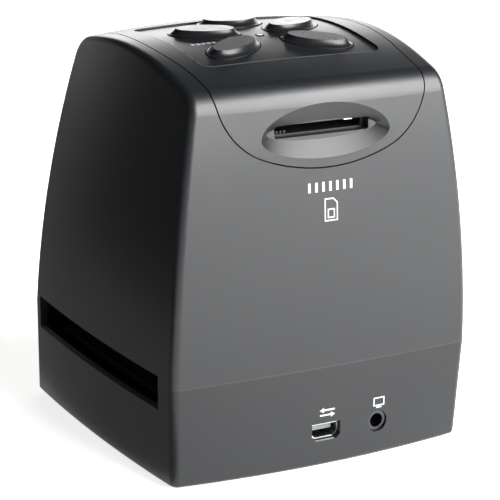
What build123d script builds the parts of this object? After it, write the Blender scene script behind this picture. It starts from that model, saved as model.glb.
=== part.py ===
from build123d import *
import math
import os

# Film negative scanner. Millimetres, +Z up. The origin is under the feet, at the middle of the body.
# The rear, with the card slot and the sockets, faces +Y, and the screen faces -Y.
# Heights named _H are measured from the underside of the base; up() turns one into a Z.

# ---------------------------------------------------------------- driving dimensions
FOOT_PROUD = 0.8
BASE_HALF_W, BASE_HALF_D = 40.7, 36.6
CREASE_H, CREASE_HALF_W, CREASE_HALF_D = 25.0, 41.8, 36.7
MID_H, MID_HALF_W, MID_HALF_D = 57.7, 40.0, 34.3
SHOULDER_DROP, SHOULDER_HALF_W, SHOULDER_HALF_D = 7.7, 35.1, 29.5
LOWER_MID_H, UPPER_MID_H = 41.0, 75.0
SIDE_BOW = 1.6
FOOT_BOW, CREASE_BOW, SHOULDER_BOW = 3.0, 1.35, 1.75
TOP_H = 99.1
SHOULDER_H = TOP_H - SHOULDER_DROP
CREST_Y = -6.0
TOP_R = 105.0
TOP_DROPS = ((-45, 3.2), (-27, 2.2), (-5, 0.9), (12, 0.7), (28, 0.9), (45, 1.0))
DROP_AT_X = 35.0
TOP_EDGE_R = 7.0
CORNER_R = 2.2
TILT_SPAN = 10.0
SPARE = 5.0
REACH = 60.0
FOOT_EDGE_R = 1.0
WALL = 2.0
TOP_EXTRA = 0.2
FLOOR = 2.0
LEDGE_WALL = 1.2
LEDGE_OUT, LEDGE_IN = 1.8, 2.0
SEAM = 0.35

CLEAR = 0.15
FIT = 0.05
BUTTON_GAP = 0.3

COVER_HALF_W = 29.3
COVER_MID_HALF_W = 31.0
COVER_STRAIGHT_Y = 26.0
COVER_REAR_MARGIN = 7.2
COVER_TURN_DROP = 5.1
COVER_TURN_R = 18.0
COVER_FRONT_MARGIN = 25.0
COVER_FRONT_R = 8.0

SCOOP_DROP, SCOOP_HALF_W, SCOOP_UP, SCOOP_DOWN = 18.0, 18.4, 7.96, 5.2
SCOOP_H = TOP_H - SCOOP_DROP
COVER_REAR_LOW_H = SCOOP_H - COVER_REAR_MARGIN
COVER_REAR_TURN_H = TOP_H - COVER_TURN_DROP
SCOOP_DEPTH = 2.4
SCOOP_FLOOR_HALF_W, SCOOP_FLOOR_HALF_H = 15.2, 2.2
SCOOP_BACKING = 2.2
CARD_SLOT_RISE, CARD_SLOT_W, CARD_SLOT_T, CARD_SLOT_R = 1.3, 26.3, 3.0, 0.6
CARD_SLOT_H = SCOOP_H + CARD_SLOT_RISE

PANEL_SINK = 0.5
PANEL_HALF_W, PANEL_FRONT_Y, PANEL_REAR_Y, PANEL_R = 25.2, -19.5, 17.2, 3.0
BUTTON_RISE = 1.5
BUTTON_SKIRT = 1.7
BUTTON_DEEP = 3.9
BUTTON_LIP = 0.7
BUTTON_PLACES = (
    ("front", 0.0, -14.2, 6.8, 5.1, 0.0),
    ("right", 12.2, -5.2, 7.2, 3.4, -20.0),
    ("left", -12.2, -5.2, 7.2, 3.4, 20.0),
    ("rear_right", 11.8, 8.0, 7.3, 3.1, 25.0),
    ("rear_left", -11.8, 8.0, 7.3, 3.1, -25.0),
)
LIGHT_Y, LIGHT_R = 0.5, 1.1
KEY_STEP_LOW, KEY_STEP_MID, KEY_WAIST = 0.1, 0.65, 0.6
STATUS_LED_SIZE = (1.6, 1.2, 0.9)

BOARD_T = 1.2
KEYPAD_DROP = 9.1
KEYPAD_BOARD_H = TOP_H - KEYPAD_DROP
KEYPAD_HALF_W, KEYPAD_FRONT_Y, KEYPAD_REAR_Y = 24.0, -22.0, 20.9
SWITCH_W, SWITCH_T, PLUNGER_R, PLUNGER_GAP, PLUNGER_SUNK = 6.0, 1.5, 1.4, 0.3, 0.6
POST_R, SCREW_R, SCREW_HEAD_R, SCREW_HEAD_T, SCREW_BITE = 2.0, 0.85, 1.7, 1.1, 3.0
KEYPAD_POSTS = ((18.0, -19.4), (-18.0, -19.4), (12.0, 18.4), (-12.0, 18.4))

SCREEN_DROP = 36.1
SCREEN_H = TOP_H - SCREEN_DROP
COVER_FRONT_LOW_H = SCREEN_H - COVER_FRONT_MARGIN
SCREEN_W, SCREEN_L, SCREEN_R = 52.4, 42.0, 4.0
SCREEN_PROUD, SCREEN_LIP, SCREEN_BACK, SCREEN_EDGE_R = 0.9, 1.0, 5.2, 0.72
PANE_W, PANE_L, PANE_T, PANE_SUNK = 49.0, 38.0, 1.2, 0.2
VIEW_W, VIEW_L = 46.4, 34.8
LCD_W, LCD_L, LCD_T = 51.0, 40.0, 3.0
CARRIER_RIM, CARRIER_T = 1.5, 1.5

MAIN_BOARD_Y = -20.0
MAIN_BOARD_HALF_W, MAIN_BOARD_FALL, MAIN_BOARD_GAP = 30.0, 25.0, 5.0
MAIN_BOARD_LOW_H = SCREEN_H - MAIN_BOARD_FALL
MAIN_BOARD_TOP_H = KEYPAD_BOARD_H - MAIN_BOARD_GAP
MAIN_POST_X, MAIN_POST_RISE, MAIN_POST_DROP = 23.0, 8.0, 5.0

CHANNEL_Y = -1.25
SLOT_HALF_W = 31.75
SLOT_LOW_H, SLOT_TOP_H = 19.0, 26.6
SLOT_LIP = 0.8
GATE_T = 1.5
GATE_STEP = 0.4
GATE_HALF_W, GATE_SHORT_HALF_L = 38.0, 27.0
RAIL_T, RAIL_HALF_L = 1.2, 26.0
FILM_WINDOW_W, FILM_WINDOW_L = 40.0, 28.0
MASK_W, MASK_L = 37.0, 25.0
GATE_LEDGE_H, GATE_LEDGE_X, GATE_LEDGE_HALF_L = 3.0, 36.4, 13.0
RIB_T, RIB_X, RIB_HALF_L = 1.6, 33.0, 21.0

BACKLIGHT_BOARD_H = 6.0
BACKLIGHT_W, BACKLIGHT_L = 52.0, 34.4
BACKLIGHT_POST_X, BACKLIGHT_POST_Y, BACKLIGHT_POST_R = 22.0, 13.0, 2.5
LED_L, LED_W, LED_T, LED_PITCH = 3.5, 2.8, 0.8, 14.0
LIGHT_BOX_W, LIGHT_BOX_L, LIGHT_BOX_WALL = 48.0, 33.0, 1.2
DIFFUSER_T, DIFFUSER_SEAT = 1.0, 0.9

CARD_BOARD_DROP = 4.2
CARD_BOARD_H = CARD_SLOT_H - CARD_BOARD_DROP
SENSOR_BOARD_GAP = 9.0
HOLDER_W, HOLDER_T, HOLDER_ROOM = 18.0, 12.0, 0.6
TUNNEL_TOP_H = CARD_BOARD_H - SENSOR_BOARD_GAP - BOARD_T - HOLDER_T
TUNNEL_WALL, TUNNEL_FOOT, TUNNEL_FOOT_T = 1.5, 3.0, 1.5
BARREL_R, BARREL_WALL, BARREL_HANG, BARREL_L = 6.0, 1.4, 6.0, 13.4
LENS_T, LENS_PITCH = 2.4, 6.0
FILTER_W, FILTER_T = 9.0, 0.6
SENSOR_W, SENSOR_T, SENSOR_MARGIN = 8.0, 1.0, 2.0
SENSOR_BOARD_W = 30.0
# Each chip: its X, its height above the middle of the screen, width, length and thickness.
CHIPS = (
    (-14, -3, 13, 13, 1.4),
    (6, -8, 8, 10, 1.2),
    (16, 9, 8, 6, 1.2),
    (-16, 13, 5, 5, 1.0),
    (8, -20, 12, 4, 1.2),
)

CARD_BOARD_HALF_W, CARD_BOARD_FRONT_Y = 22.0, 0.0
CARD_POST_X, CARD_POST_Y = 19.0, 24.4
SOCKET_W, SOCKET_FRONT_Y, SOCKET_WALL = 28.6, 3.0, 1.8
CARD_BAY_W, CARD_BAY_T = 24.6, 2.4
SHIELD_T = 0.3
CONTACT_COUNT, CONTACT_PITCH, CONTACT_W, CONTACT_L, CONTACT_T = 9, 2.5, 0.9, 6.0, 0.3

IO_BOARD_TOP_H = 6.62
IO_BOARD_HALF_W, IO_BOARD_FRONT_Y, IO_BOARD_REAR_Y = 25.0, 19.0, 35.0
IO_POST_X, IO_POST_Y = 21.0, 22.5
USB_W, USB_T, USB_L, USB_WALL, USB_SUNK = 7.7, 3.9, 9.2, 0.35, 1.1
USB_TONGUE_W, USB_TONGUE_T, USB_TONGUE_L, USB_TONGUE_GAP = 5.4, 1.1, 7.2, 0.7
USB_CUT_GAP = 0.25
USB_NIP = 1.0
JACK_X, JACK_H, JACK_BORE_R, JACK_RING_R, JACK_W, JACK_T = -15.1, 8.6, 1.8, 2.6, 6.4, 6.0
JACK_L, JACK_SUNK, JACK_EAR, JACK_EAR_T = 11.0, 0.6, 1.0, 1.4

SCREW_SHANK_R, SCREW_CAP_R, SCREW_CAP_T = 0.9, 2.0, 1.6
BOSS_X, BOSS_R, NECK_R, NECK_LOW_H, NECK_TOP_H, BOSS_TOP_H = 30.0, 3.2, 1.7, 18.4, 27.4, 37.0
SCREW_SEAT_H, SCREW_END_H = 13.0, 34.0
BOSS_GAP = 0.25
FOOT_R, FOOT_X, FOOT_Y, FOOT_POCKET = 5.0, 32.0, 22.5, 1.0

DETENT_Y, DETENT_R, DETENT_RISE, DETENT_TIP_R = 28.9, 1.3, 0.7, 1.17
DETENT_HEAD_R, DETENT_HEAD_T, DETENT_WALL, DETENT_SLEEVE_L = 2.0, 1.0, 1.0, 6.4
SPRING_OUTER_R, SPRING_INNER_R = 1.6, 1.1

RIBBON_T, RIBBON_LAP, RIBBON_OVERHANG, IO_RIBBON_DROP = 0.25, 5.0, 1.8, 10.0
IO_RIBBON_X, IO_RIBBON_W, IO_RIBBON_Y = 14.0, 10.0, 33.1


def up(height):
    """The Z of a height above the underside of the base."""
    return FOOT_PROUD + height


# ---------------------------------------------------------------- the body's outline
def through_mid(low, mid, top, height):
    """A parabola in height through the values at the crease, the middle and the shoulder."""
    t = (height - CREASE_H) / (SHOULDER_H - CREASE_H)
    tm = (MID_H - CREASE_H) / (SHOULDER_H - CREASE_H)
    bend = ((mid - low) / tm - (top - low)) / (tm - 1)
    return low + (top - low - bend) * t + bend * t * t


def half_w(height):
    if height <= CREASE_H:
        return BASE_HALF_W + (CREASE_HALF_W - BASE_HALF_W) * height / CREASE_H
    return through_mid(CREASE_HALF_W, MID_HALF_W, SHOULDER_HALF_W, height)


def half_d(height):
    if height <= CREASE_H:
        return BASE_HALF_D + (CREASE_HALF_D - BASE_HALF_D) * height / CREASE_H
    return through_mid(CREASE_HALF_D, MID_HALF_D, SHOULDER_HALF_D, height)


def bow(height):
    if height <= CREASE_H:
        return FOOT_BOW + (CREASE_BOW - FOOT_BOW) * height / CREASE_H
    return CREASE_BOW + (SHOULDER_BOW - CREASE_BOW) * (height - CREASE_H) / (SHOULDER_H - CREASE_H)


def face_y(height, x=0.0):
    """How far the front and rear faces stand from the middle at a height and an X."""
    return half_d(height) + bow(height) * (1 - (x / half_w(height)) ** 2)


def face_tilt(height):
    """How far the front and rear faces lean back at a height, in degrees."""
    lean = (face_y(height - TILT_SPAN) - face_y(height + TILT_SPAN)) / (2 * TILT_SPAN)
    return math.degrees(math.atan(lean))


def crown(y):
    return TOP_H - (y - CREST_Y) ** 2 / (2 * TOP_R)


def top_drop(y):
    for (y0, d0), (y1, d1) in zip(TOP_DROPS, TOP_DROPS[1:]):
        if y <= y1:
            return d0 + (d1 - d0) * (y - y0) / (y1 - y0)
    return TOP_DROPS[-1][1]


def top_height(x, y):
    return crown(y) - top_drop(y) * (x / DROP_AT_X) ** 2


def section(height, inset):
    """The body's plan outline at a height: four arcs, bowed outwards."""
    x, y, b = half_w(height) - inset, half_d(height) - inset, bow(height)
    with BuildSketch(Plane.XY.offset(up(height))) as plan:
        with BuildLine():
            ThreePointArc((-x, -y), (0, -y - b), (x, -y))
            ThreePointArc((x, -y), (x + SIDE_BOW, 0), (x, y))
            ThreePointArc((x, y), (0, y + b), (-x, y))
            ThreePointArc((-x, y), (-x - SIDE_BOW, 0), (-x, -y))
        make_face()
    return plan.sketch


def dome(lower):
    """The solid under the crowned top, lowered by some millimetres."""
    sections = []
    for y, drop in TOP_DROPS:
        z = up(crown(y) - lower)
        edge = z - drop * (REACH / DROP_AT_X) ** 2
        with BuildSketch(Plane.XZ.offset(-y)) as rib:
            with BuildLine():
                Polyline((-REACH, edge), (-REACH, 0), (REACH, 0), (REACH, edge))
                ThreePointArc((REACH, edge), (0, z), (-REACH, edge))
            make_face()
        sections.append(rib.sketch)
    with BuildPart() as hill:
        loft(sections)
    return hill.part


def upper_block(inset, lower, corner_r=0.0):
    """The upper body as one solid, drawn in by inset at the sides and by lower at the top."""
    heights = (CREASE_H, LOWER_MID_H, MID_H, UPPER_MID_H, SHOULDER_H, TOP_H + SPARE)
    plans = [section(h, inset) for h in heights]
    hill = dome(lower)
    with BuildPart() as block:
        loft(plans)
        add(hill, mode=Mode.INTERSECT)
        rims = block.part.edges().filter_by(
            lambda e: e.center().Z > up(SHOULDER_H - SPARE)
            and abs(e.center().X) < CORNER_R
            and e.length > SHOULDER_HALF_W
        )
        fillet(rims, TOP_EDGE_R - inset)
        if corner_r:
            corners = block.part.edges().filter_by(
                lambda e: abs(e.center().X) > SHOULDER_HALF_W - TOP_EDGE_R
                and e.center().Z > up(CREASE_H + CLEAR)
            )
            fillet(corners, corner_r)
    return block.part


def base_block(inset, floor, corner_r=0.0, foot_r=0.0):
    """The base as one solid, from the floor's height to the crease."""
    plans = [section(h, inset) for h in (floor, (floor + CREASE_H) / 2, CREASE_H)]
    with BuildPart() as block:
        loft(plans)
        if corner_r:
            corners = block.part.edges().filter_by(
                lambda e: abs(e.center().X) > BASE_HALF_W / 2 and abs(e.center().Y) > BASE_HALF_D / 2
            )
            fillet(corners, corner_r)
        if foot_r:
            fillet(block.part.faces().sort_by(Axis.Z)[0].edges(), foot_r)
    return block.part


outer = upper_block(0, 0, CORNER_R)
core = upper_block(WALL / 2, WALL / 2 + TOP_EXTRA)
inner = upper_block(WALL, WALL + TOP_EXTRA)
ledge_inner = upper_block(WALL + LEDGE_WALL, WALL + LEDGE_WALL + TOP_EXTRA)
base_outer = base_block(0, 0, CORNER_R, FOOT_EDGE_R)
base_core = base_block(WALL / 2, 0)
base_inner = base_block(WALL, FLOOR)


# ---------------------------------------------------------------- the cover's outline
def cover_prism(grow):
    """The saddle outline of the top cover, through the whole body, grown by some millimetres."""
    rear_low, rear_turn = up(COVER_REAR_LOW_H), up(COVER_REAR_TURN_H)
    front_low = up(COVER_FRONT_LOW_H)
    height = REACH + TOP_H - front_low
    across, rise = COVER_HALF_W - COVER_TURN_R, rear_turn - rear_low
    sweep_r = (across**2 + rise**2 - COVER_TURN_R**2) / (2 * (rise - COVER_TURN_R))
    share = sweep_r / (sweep_r - COVER_TURN_R)
    joint = (across * share, rear_low + sweep_r + (rise - sweep_r) * share)
    with BuildPart() as prism:
        with BuildSketch(Plane.XY.offset(front_low - REACH / 2)):
            with BuildLine():
                for side in (1, -1):
                    w, m, y = side * COVER_HALF_W, side * COVER_MID_HALF_W, COVER_STRAIGHT_Y
                    mid = ((w + m) / 2, y / 2)
                    Line((w, REACH), (w, y))
                    TangentArc((w, y), mid, tangent=(0, -1))
                    ThreePointArc(mid, (m, 0), (mid[0], -mid[1]))
                    TangentArc((w, -y), (mid[0], -mid[1]), tangent=(0, 1))
                    Line((w, -y), (w, -REACH))
                Line((-COVER_HALF_W, REACH), (COVER_HALF_W, REACH))
                Line((-COVER_HALF_W, -REACH), (COVER_HALF_W, -REACH))
            make_face()
            offset(amount=grow)
        extrude(amount=height)
        with BuildSketch(Plane.XZ, mode=Mode.PRIVATE) as rear:
            with BuildLine():
                Line((COVER_HALF_W + SPARE, rear_turn), (COVER_HALF_W, rear_turn))
                side_arc = TangentArc((COVER_HALF_W, rear_turn), joint, tangent=(0, -1))
                TangentArc(joint, (0, rear_low), tangent=side_arc % 1)
                mirror(about=Plane.YZ)
                Polyline(
                    (COVER_HALF_W + SPARE, rear_turn),
                    (COVER_HALF_W + SPARE, REACH * 2),
                    (-COVER_HALF_W - SPARE, REACH * 2),
                    (-COVER_HALF_W - SPARE, rear_turn),
                )
            make_face()
            offset(amount=grow)
        with BuildSketch(Plane.XZ, mode=Mode.PRIVATE) as front:
            with Locations((0, front_low + REACH)):
                RectangleRounded(2 * COVER_HALF_W, 2 * REACH, COVER_FRONT_R)
            with Locations((0, REACH * 2)):
                Rectangle(4 * COVER_HALF_W, 2 * (REACH * 2 - rear_turn))
            offset(amount=grow)
        rear_half = extrude(rear.sketch, amount=-REACH, mode=Mode.PRIVATE)
        front_half = extrude(front.sketch, amount=REACH, mode=Mode.PRIVATE)
        add(rear_half.fuse(front_half), mode=Mode.INTERSECT)
    return prism.part


outline = cover_prism(0)
outline_out = cover_prism(SEAM)
ledge_out = cover_prism(LEDGE_OUT)
ledge_in = cover_prism(-LEDGE_IN)
inside_ledge = cover_prism(-LEDGE_IN - CLEAR)


# ---------------------------------------------------------------- places shared by several pieces
gate_low_h = SLOT_LOW_H + GATE_STEP
gate_under_h = gate_low_h - GATE_T
gate_high_h = SLOT_TOP_H
gate_over_h = gate_high_h + GATE_T
boss_front_y = CHANNEL_Y - SLOT_HALF_W - BOSS_GAP - NECK_R
boss_rear_y = CHANNEL_Y + SLOT_HALF_W + BOSS_GAP + NECK_R
boss_spots = [(x, y) for x in (-BOSS_X, BOSS_X) for y in (boss_front_y, boss_rear_y)]
foot_spots = [(x, y) for x in (-FOOT_X, FOOT_X) for y in (-FOOT_Y, FOOT_Y)]
keypad_top_h = KEYPAD_BOARD_H + BOARD_T
card_board_top_h = CARD_BOARD_H + BOARD_T
pad_y = face_y(CARD_SLOT_H) - SCOOP_DEPTH - SCOOP_BACKING
card_rear_y = pad_y - CLEAR
card_posts = [(x, CARD_POST_Y) for x in (-CARD_POST_X, CARD_POST_X)]
backlight_top_h = BACKLIGHT_BOARD_H + BOARD_T
backlight_posts = [
    (x, CHANNEL_Y + y)
    for x in (-BACKLIGHT_POST_X, BACKLIGHT_POST_X)
    for y in (-BACKLIGHT_POST_Y, BACKLIGHT_POST_Y)
]
io_posts = [(x, IO_POST_Y) for x in (-IO_POST_X, IO_POST_X)]
io_under_h = IO_BOARD_TOP_H - BOARD_T
holder_top_h = TUNNEL_TOP_H + HOLDER_T
sensor_board_top_h = holder_top_h + BOARD_T
main_board_rear_y = MAIN_BOARD_Y + BOARD_T
main_posts = [
    (x, up(h))
    for x in (-MAIN_POST_X, MAIN_POST_X)
    for h in (MAIN_BOARD_LOW_H + MAIN_POST_RISE, MAIN_BOARD_TOP_H - MAIN_POST_DROP)
]
barrel_low_h = TUNNEL_TOP_H - BARREL_HANG
barrel_top_h = barrel_low_h + BARREL_L
usb_mouth_y = face_y(IO_BOARD_TOP_H + USB_T / 2) - USB_SUNK
jack_wall_y = face_y(JACK_H, JACK_X)
jack_mouth_y = face_y(JACK_H + JACK_T / 2, abs(JACK_X) + JACK_W / 2) - WALL - CLEAR
scoop_tilt = math.radians(face_tilt(SCOOP_H))
scoop_plane = Plane(
    origin=(0, face_y(SCOOP_H), up(SCOOP_H)),
    x_dir=(-1, 0, 0),
    z_dir=(0, math.cos(scoop_tilt), math.sin(scoop_tilt)),
)
screen_tilt = math.radians(face_tilt(SCREEN_H))
screen_plane = Plane(
    origin=(0, -face_y(SCREEN_H), up(SCREEN_H)),
    x_dir=(1, 0, 0),
    z_dir=(0, -math.cos(screen_tilt), math.sin(screen_tilt)),
)
lcd_back = SCREEN_BACK + LCD_T
carrier_w = LCD_W + 2 * (CLEAR + CARRIER_RIM)
carrier_l = LCD_L + 2 * (CLEAR + CARRIER_RIM)
slot_outer_x = half_w(SLOT_LOW_H) + SIDE_BOW


def rods(spots, radius, low_z, high_z):
    """Upright round rods at some places in plan."""
    with BuildPart() as group:
        with BuildSketch(Plane.XY.offset(low_z)):
            with Locations(*spots):
                Circle(radius)
        extrude(amount=high_z - low_z)
    return group.part


def plate(x, y, low_z, size_x, size_y, thickness, corner=0.0):
    """An upright block, given by the middle of its underside."""
    with BuildPart() as block:
        with BuildSketch(Plane.XY.offset(low_z)):
            with Locations((x, y)):
                if corner:
                    RectangleRounded(size_x, size_y, corner)
                else:
                    Rectangle(size_x, size_y)
        extrude(amount=thickness)
    return block.part


def rear_rods(spots, radius, from_y, to_y):
    """Round rods along Y at some places in X and Z."""
    with BuildPart() as group:
        with BuildSketch(Plane.XZ.offset(-from_y)):
            with Locations(*spots):
                Circle(radius)
        extrude(amount=from_y - to_y)
    return group.part


def save(part, name):
    part.label = name
    export_step(part, "parts/" + name + ".step")


os.makedirs("parts", exist_ok=True)

# ---------------------------------------------------------------- film slot and socket cuts
with BuildPart() as slot_cut:
    with BuildSketch(Plane.YZ.offset(-CREASE_HALF_W * 1.5)):
        with Locations((CHANNEL_Y, up((SLOT_LOW_H + SLOT_TOP_H) / 2))):
            Rectangle(2 * SLOT_HALF_W, SLOT_TOP_H - SLOT_LOW_H)
    extrude(amount=CREASE_HALF_W * 3)


def usb_profile(grow):
    """The mini socket's section, with its two lower corners cut off, grown by some millimetres."""
    low, top, half = up(IO_BOARD_TOP_H), up(IO_BOARD_TOP_H) + USB_T, USB_W / 2
    with BuildSketch(Plane.XZ.offset(-usb_mouth_y)) as shape:
        with BuildLine():
            Polyline(
                (-half, top), (half, top), (half, low + USB_NIP),
                (half - USB_NIP, low), (USB_NIP - half, low), (-half, low + USB_NIP),
                close=True,
            )
        make_face()
        if grow:
            offset(amount=grow, kind=Kind.INTERSECTION)
    return shape.sketch


# ---------------------------------------------------------------- casing
base_bosses = rods(boss_spots, BOSS_R, up(0), up(NECK_LOW_H))
base_necks = rods(boss_spots, NECK_R, up(0), up(CREASE_H))

with BuildPart() as base_shell:
    add(base_bosses)
    add(base_necks)
    add(base_core, mode=Mode.INTERSECT)
    add(base_outer.cut(base_inner))
    for side in (-1, 1):
        rib_t = gate_under_h - FLOOR / 2
        add(plate(side * RIB_X, CHANNEL_Y, up(FLOOR / 2), RIB_T, 2 * RIB_HALF_L, rib_t))
    add(rods(backlight_posts, BACKLIGHT_POST_R, up(FLOOR / 2), up(BACKLIGHT_BOARD_H)))
    add(rods(io_posts, POST_R, up(FLOOR / 2), up(io_under_h)))
    add(rods(io_posts, SCREW_R + FIT, up(io_under_h - SCREW_BITE), up(io_under_h)), mode=Mode.SUBTRACT)
    add(rods(boss_spots, SCREW_CAP_R + 2 * CLEAR, up(0), up(SCREW_SEAT_H)), mode=Mode.SUBTRACT)
    add(rods(boss_spots, SCREW_SHANK_R + 2 * FIT, up(0), up(CREASE_H)), mode=Mode.SUBTRACT)
    add(rods(foot_spots, FOOT_R + CLEAR, up(0), up(FOOT_POCKET)), mode=Mode.SUBTRACT)
    add(slot_cut.part, mode=Mode.SUBTRACT)
    lips = base_shell.part.edges().filter_by(
        lambda e: abs(e.center().X) > slot_outer_x - WALL / 2
        and abs(e.center().Z - up(SLOT_LOW_H)) < FIT
    )
    chamfer(lips, SLOT_LIP)
    extrude(usb_profile(USB_CUT_GAP), amount=-WALL * 2, mode=Mode.SUBTRACT)
    extrude(usb_profile(USB_CUT_GAP), amount=WALL * 2, mode=Mode.SUBTRACT)
    add(
        rear_rods([(JACK_X, up(JACK_H))], JACK_RING_R + CLEAR, jack_mouth_y - WALL, jack_wall_y + WALL),
        mode=Mode.SUBTRACT,
    )
save(base_shell.part, "base_shell")

upper_bosses = rods(boss_spots, BOSS_R, up(NECK_TOP_H), up(BOSS_TOP_H))
upper_necks = rods(boss_spots, NECK_R, up(CREASE_H), up(NECK_TOP_H))
with BuildPart() as cover_ledge:
    add(inner)
    add(ledge_inner, mode=Mode.SUBTRACT)
    add(ledge_out, mode=Mode.INTERSECT)
    add(ledge_in, mode=Mode.SUBTRACT)

with BuildPart() as upper_shell:
    add(upper_bosses)
    add(upper_necks)
    for side in (-1, 1):
        ledge_w = CREASE_HALF_W + SIDE_BOW - GATE_LEDGE_X
        add(
            plate(
                side * (GATE_LEDGE_X + ledge_w / 2), CHANNEL_Y, up(gate_over_h),
                ledge_w, 2 * GATE_LEDGE_HALF_L, GATE_LEDGE_H,
            )
        )
    add(core, mode=Mode.INTERSECT)
    add(outer.cut(inner).cut(outline_out))
    add(cover_ledge.part)
    add(rods(boss_spots, SCREW_SHANK_R + FIT, up(CREASE_H), up(SCREW_END_H + CLEAR)), mode=Mode.SUBTRACT)
    add(slot_cut.part, mode=Mode.SUBTRACT)
save(upper_shell.part, "upper_shell")

with BuildPart() as base_screws:
    add(rods(boss_spots, SCREW_CAP_R, up(SCREW_SEAT_H - SCREW_CAP_T), up(SCREW_SEAT_H)))
    add(rods(boss_spots, SCREW_SHANK_R, up(SCREW_SEAT_H), up(SCREW_END_H)))
save(base_screws.part, "base_screws")

with BuildPart() as rubber_feet:
    add(rods(foot_spots, FOOT_R, 0, up(FOOT_POCKET)))
save(rubber_feet.part, "rubber_feet")


# ---------------------------------------------------------------- top cover
def tilted(x, y, turn):
    """A plane that lies on the sunk panel at a place, turned about its normal."""
    step = 0.5
    along_x = (top_height(x + step, y) - top_height(x - step, y)) / (2 * step)
    along_y = (top_height(x, y + step) - top_height(x, y - step)) / (2 * step)
    ux, uy = math.cos(math.radians(turn)), math.sin(math.radians(turn))
    return Plane(
        origin=(x, y, up(top_height(x, y) - PANEL_SINK)),
        x_dir=(ux, uy, ux * along_x + uy * along_y),
        z_dir=(-along_x, -along_y, 1),
    )


def upright(x, y, turn):
    """A level plane at the sunk panel's height at a place, turned about Z."""
    ux, uy = math.cos(math.radians(turn)), math.sin(math.radians(turn))
    return Plane(origin=(x, y, up(top_height(x, y) - PANEL_SINK)), x_dir=(ux, uy, 0), z_dir=(0, 0, 1))


def ellipse_on(plane, half_long, half_short):
    with BuildSketch(plane) as shape:
        Ellipse(half_long, half_short)
    return shape.sketch


def scoop_oval(depth, half_width, rise, fall, shift):
    """An egg-shaped section of the scoop: its upper and lower halves differ."""
    with BuildSketch(scoop_plane.offset(-depth)) as oval:
        with BuildLine():
            EllipticalCenterArc((0, shift), half_width, rise, start_angle=0, arc_size=180)
            EllipticalCenterArc((0, shift), half_width, fall, start_angle=180, arc_size=180)
        make_face()
    return oval.sketch


scoop_mouth = scoop_oval(0, SCOOP_HALF_W, SCOOP_UP, SCOOP_DOWN, 0)
scoop_floor = scoop_oval(
    SCOOP_DEPTH, SCOOP_FLOOR_HALF_W, SCOOP_FLOOR_HALF_H, SCOOP_FLOOR_HALF_H, CARD_SLOT_H - SCOOP_H
)
with BuildPart() as scoop_cut:
    loft([scoop_floor, scoop_mouth])
    extrude(scoop_mouth, amount=SCOOP_DEPTH)

with BuildPart() as scoop_pad:
    pad_w, pad_h = 2 * (SCOOP_FLOOR_HALF_W + SCOOP_BACKING), 2 * (SCOOP_UP + SCOOP_BACKING)
    pad_l = 2 * (SCOOP_DEPTH + SCOOP_BACKING)
    with BuildSketch(Plane.XZ.offset(-pad_y)):
        with Locations((0, up(CARD_SLOT_H))):
            Rectangle(pad_w, pad_h)
    extrude(amount=-pad_l)
    add(core, mode=Mode.INTERSECT)
    add(inside_ledge, mode=Mode.INTERSECT)

with BuildPart() as card_slot_cut:
    with BuildSketch(Plane.XZ.offset(-pad_y + WALL)):
        with Locations((0, up(CARD_SLOT_H))):
            RectangleRounded(CARD_SLOT_W, CARD_SLOT_T, CARD_SLOT_R)
    extrude(amount=-SHOULDER_HALF_D)

with BuildPart() as panel_cut:
    with BuildSketch(Plane.XY.offset(up(SHOULDER_H))):
        with Locations((0, (PANEL_FRONT_Y + PANEL_REAR_Y) / 2)):
            RectangleRounded(2 * PANEL_HALF_W, PANEL_REAR_Y - PANEL_FRONT_Y, PANEL_R)
    extrude(amount=2 * SHOULDER_DROP)
    add(dome(PANEL_SINK), mode=Mode.SUBTRACT)

with BuildPart() as cover_posts:
    add(rods(KEYPAD_POSTS, POST_R, up(keypad_top_h), up(TOP_H)))
    add(rods(card_posts, POST_R, up(card_board_top_h), up(TOP_H)))
    add(core, mode=Mode.INTERSECT)

with BuildPart() as top_cover:
    add(outer)
    add(inner, mode=Mode.SUBTRACT)
    add(outline, mode=Mode.INTERSECT)
    add(scoop_pad.part)
    add(cover_posts.part)
    add(
        rods(KEYPAD_POSTS, SCREW_R + FIT, up(keypad_top_h), up(keypad_top_h + SCREW_BITE)),
        mode=Mode.SUBTRACT,
    )
    add(
        rods(card_posts, SCREW_R + FIT, up(card_board_top_h), up(card_board_top_h + SCREW_BITE)),
        mode=Mode.SUBTRACT,
    )
    add(scoop_cut.part, mode=Mode.SUBTRACT)
    add(card_slot_cut.part, mode=Mode.SUBTRACT)
    add(panel_cut.part, mode=Mode.SUBTRACT)
    for name, x, y, half_long, half_short, turn in BUTTON_PLACES:
        reach = BUTTON_SKIRT + BUTTON_GAP
        hole = ellipse_on(upright(x, y, turn), half_long + reach, half_short + reach)
        extrude(hole, amount=BUTTON_DEEP, both=True, mode=Mode.SUBTRACT)
    add(rods([(0, LIGHT_Y)], LIGHT_R + CLEAR, up(KEYPAD_BOARD_H), up(TOP_H)), mode=Mode.SUBTRACT)
    with BuildSketch(screen_plane.offset(-SCREEN_BACK)):
        RectangleRounded(SCREEN_W + 2 * CLEAR, SCREEN_L + 2 * CLEAR, SCREEN_R + CLEAR)
    extrude(amount=2 * SCREEN_BACK, mode=Mode.SUBTRACT)
save(top_cover.part, "top_cover")

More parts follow.
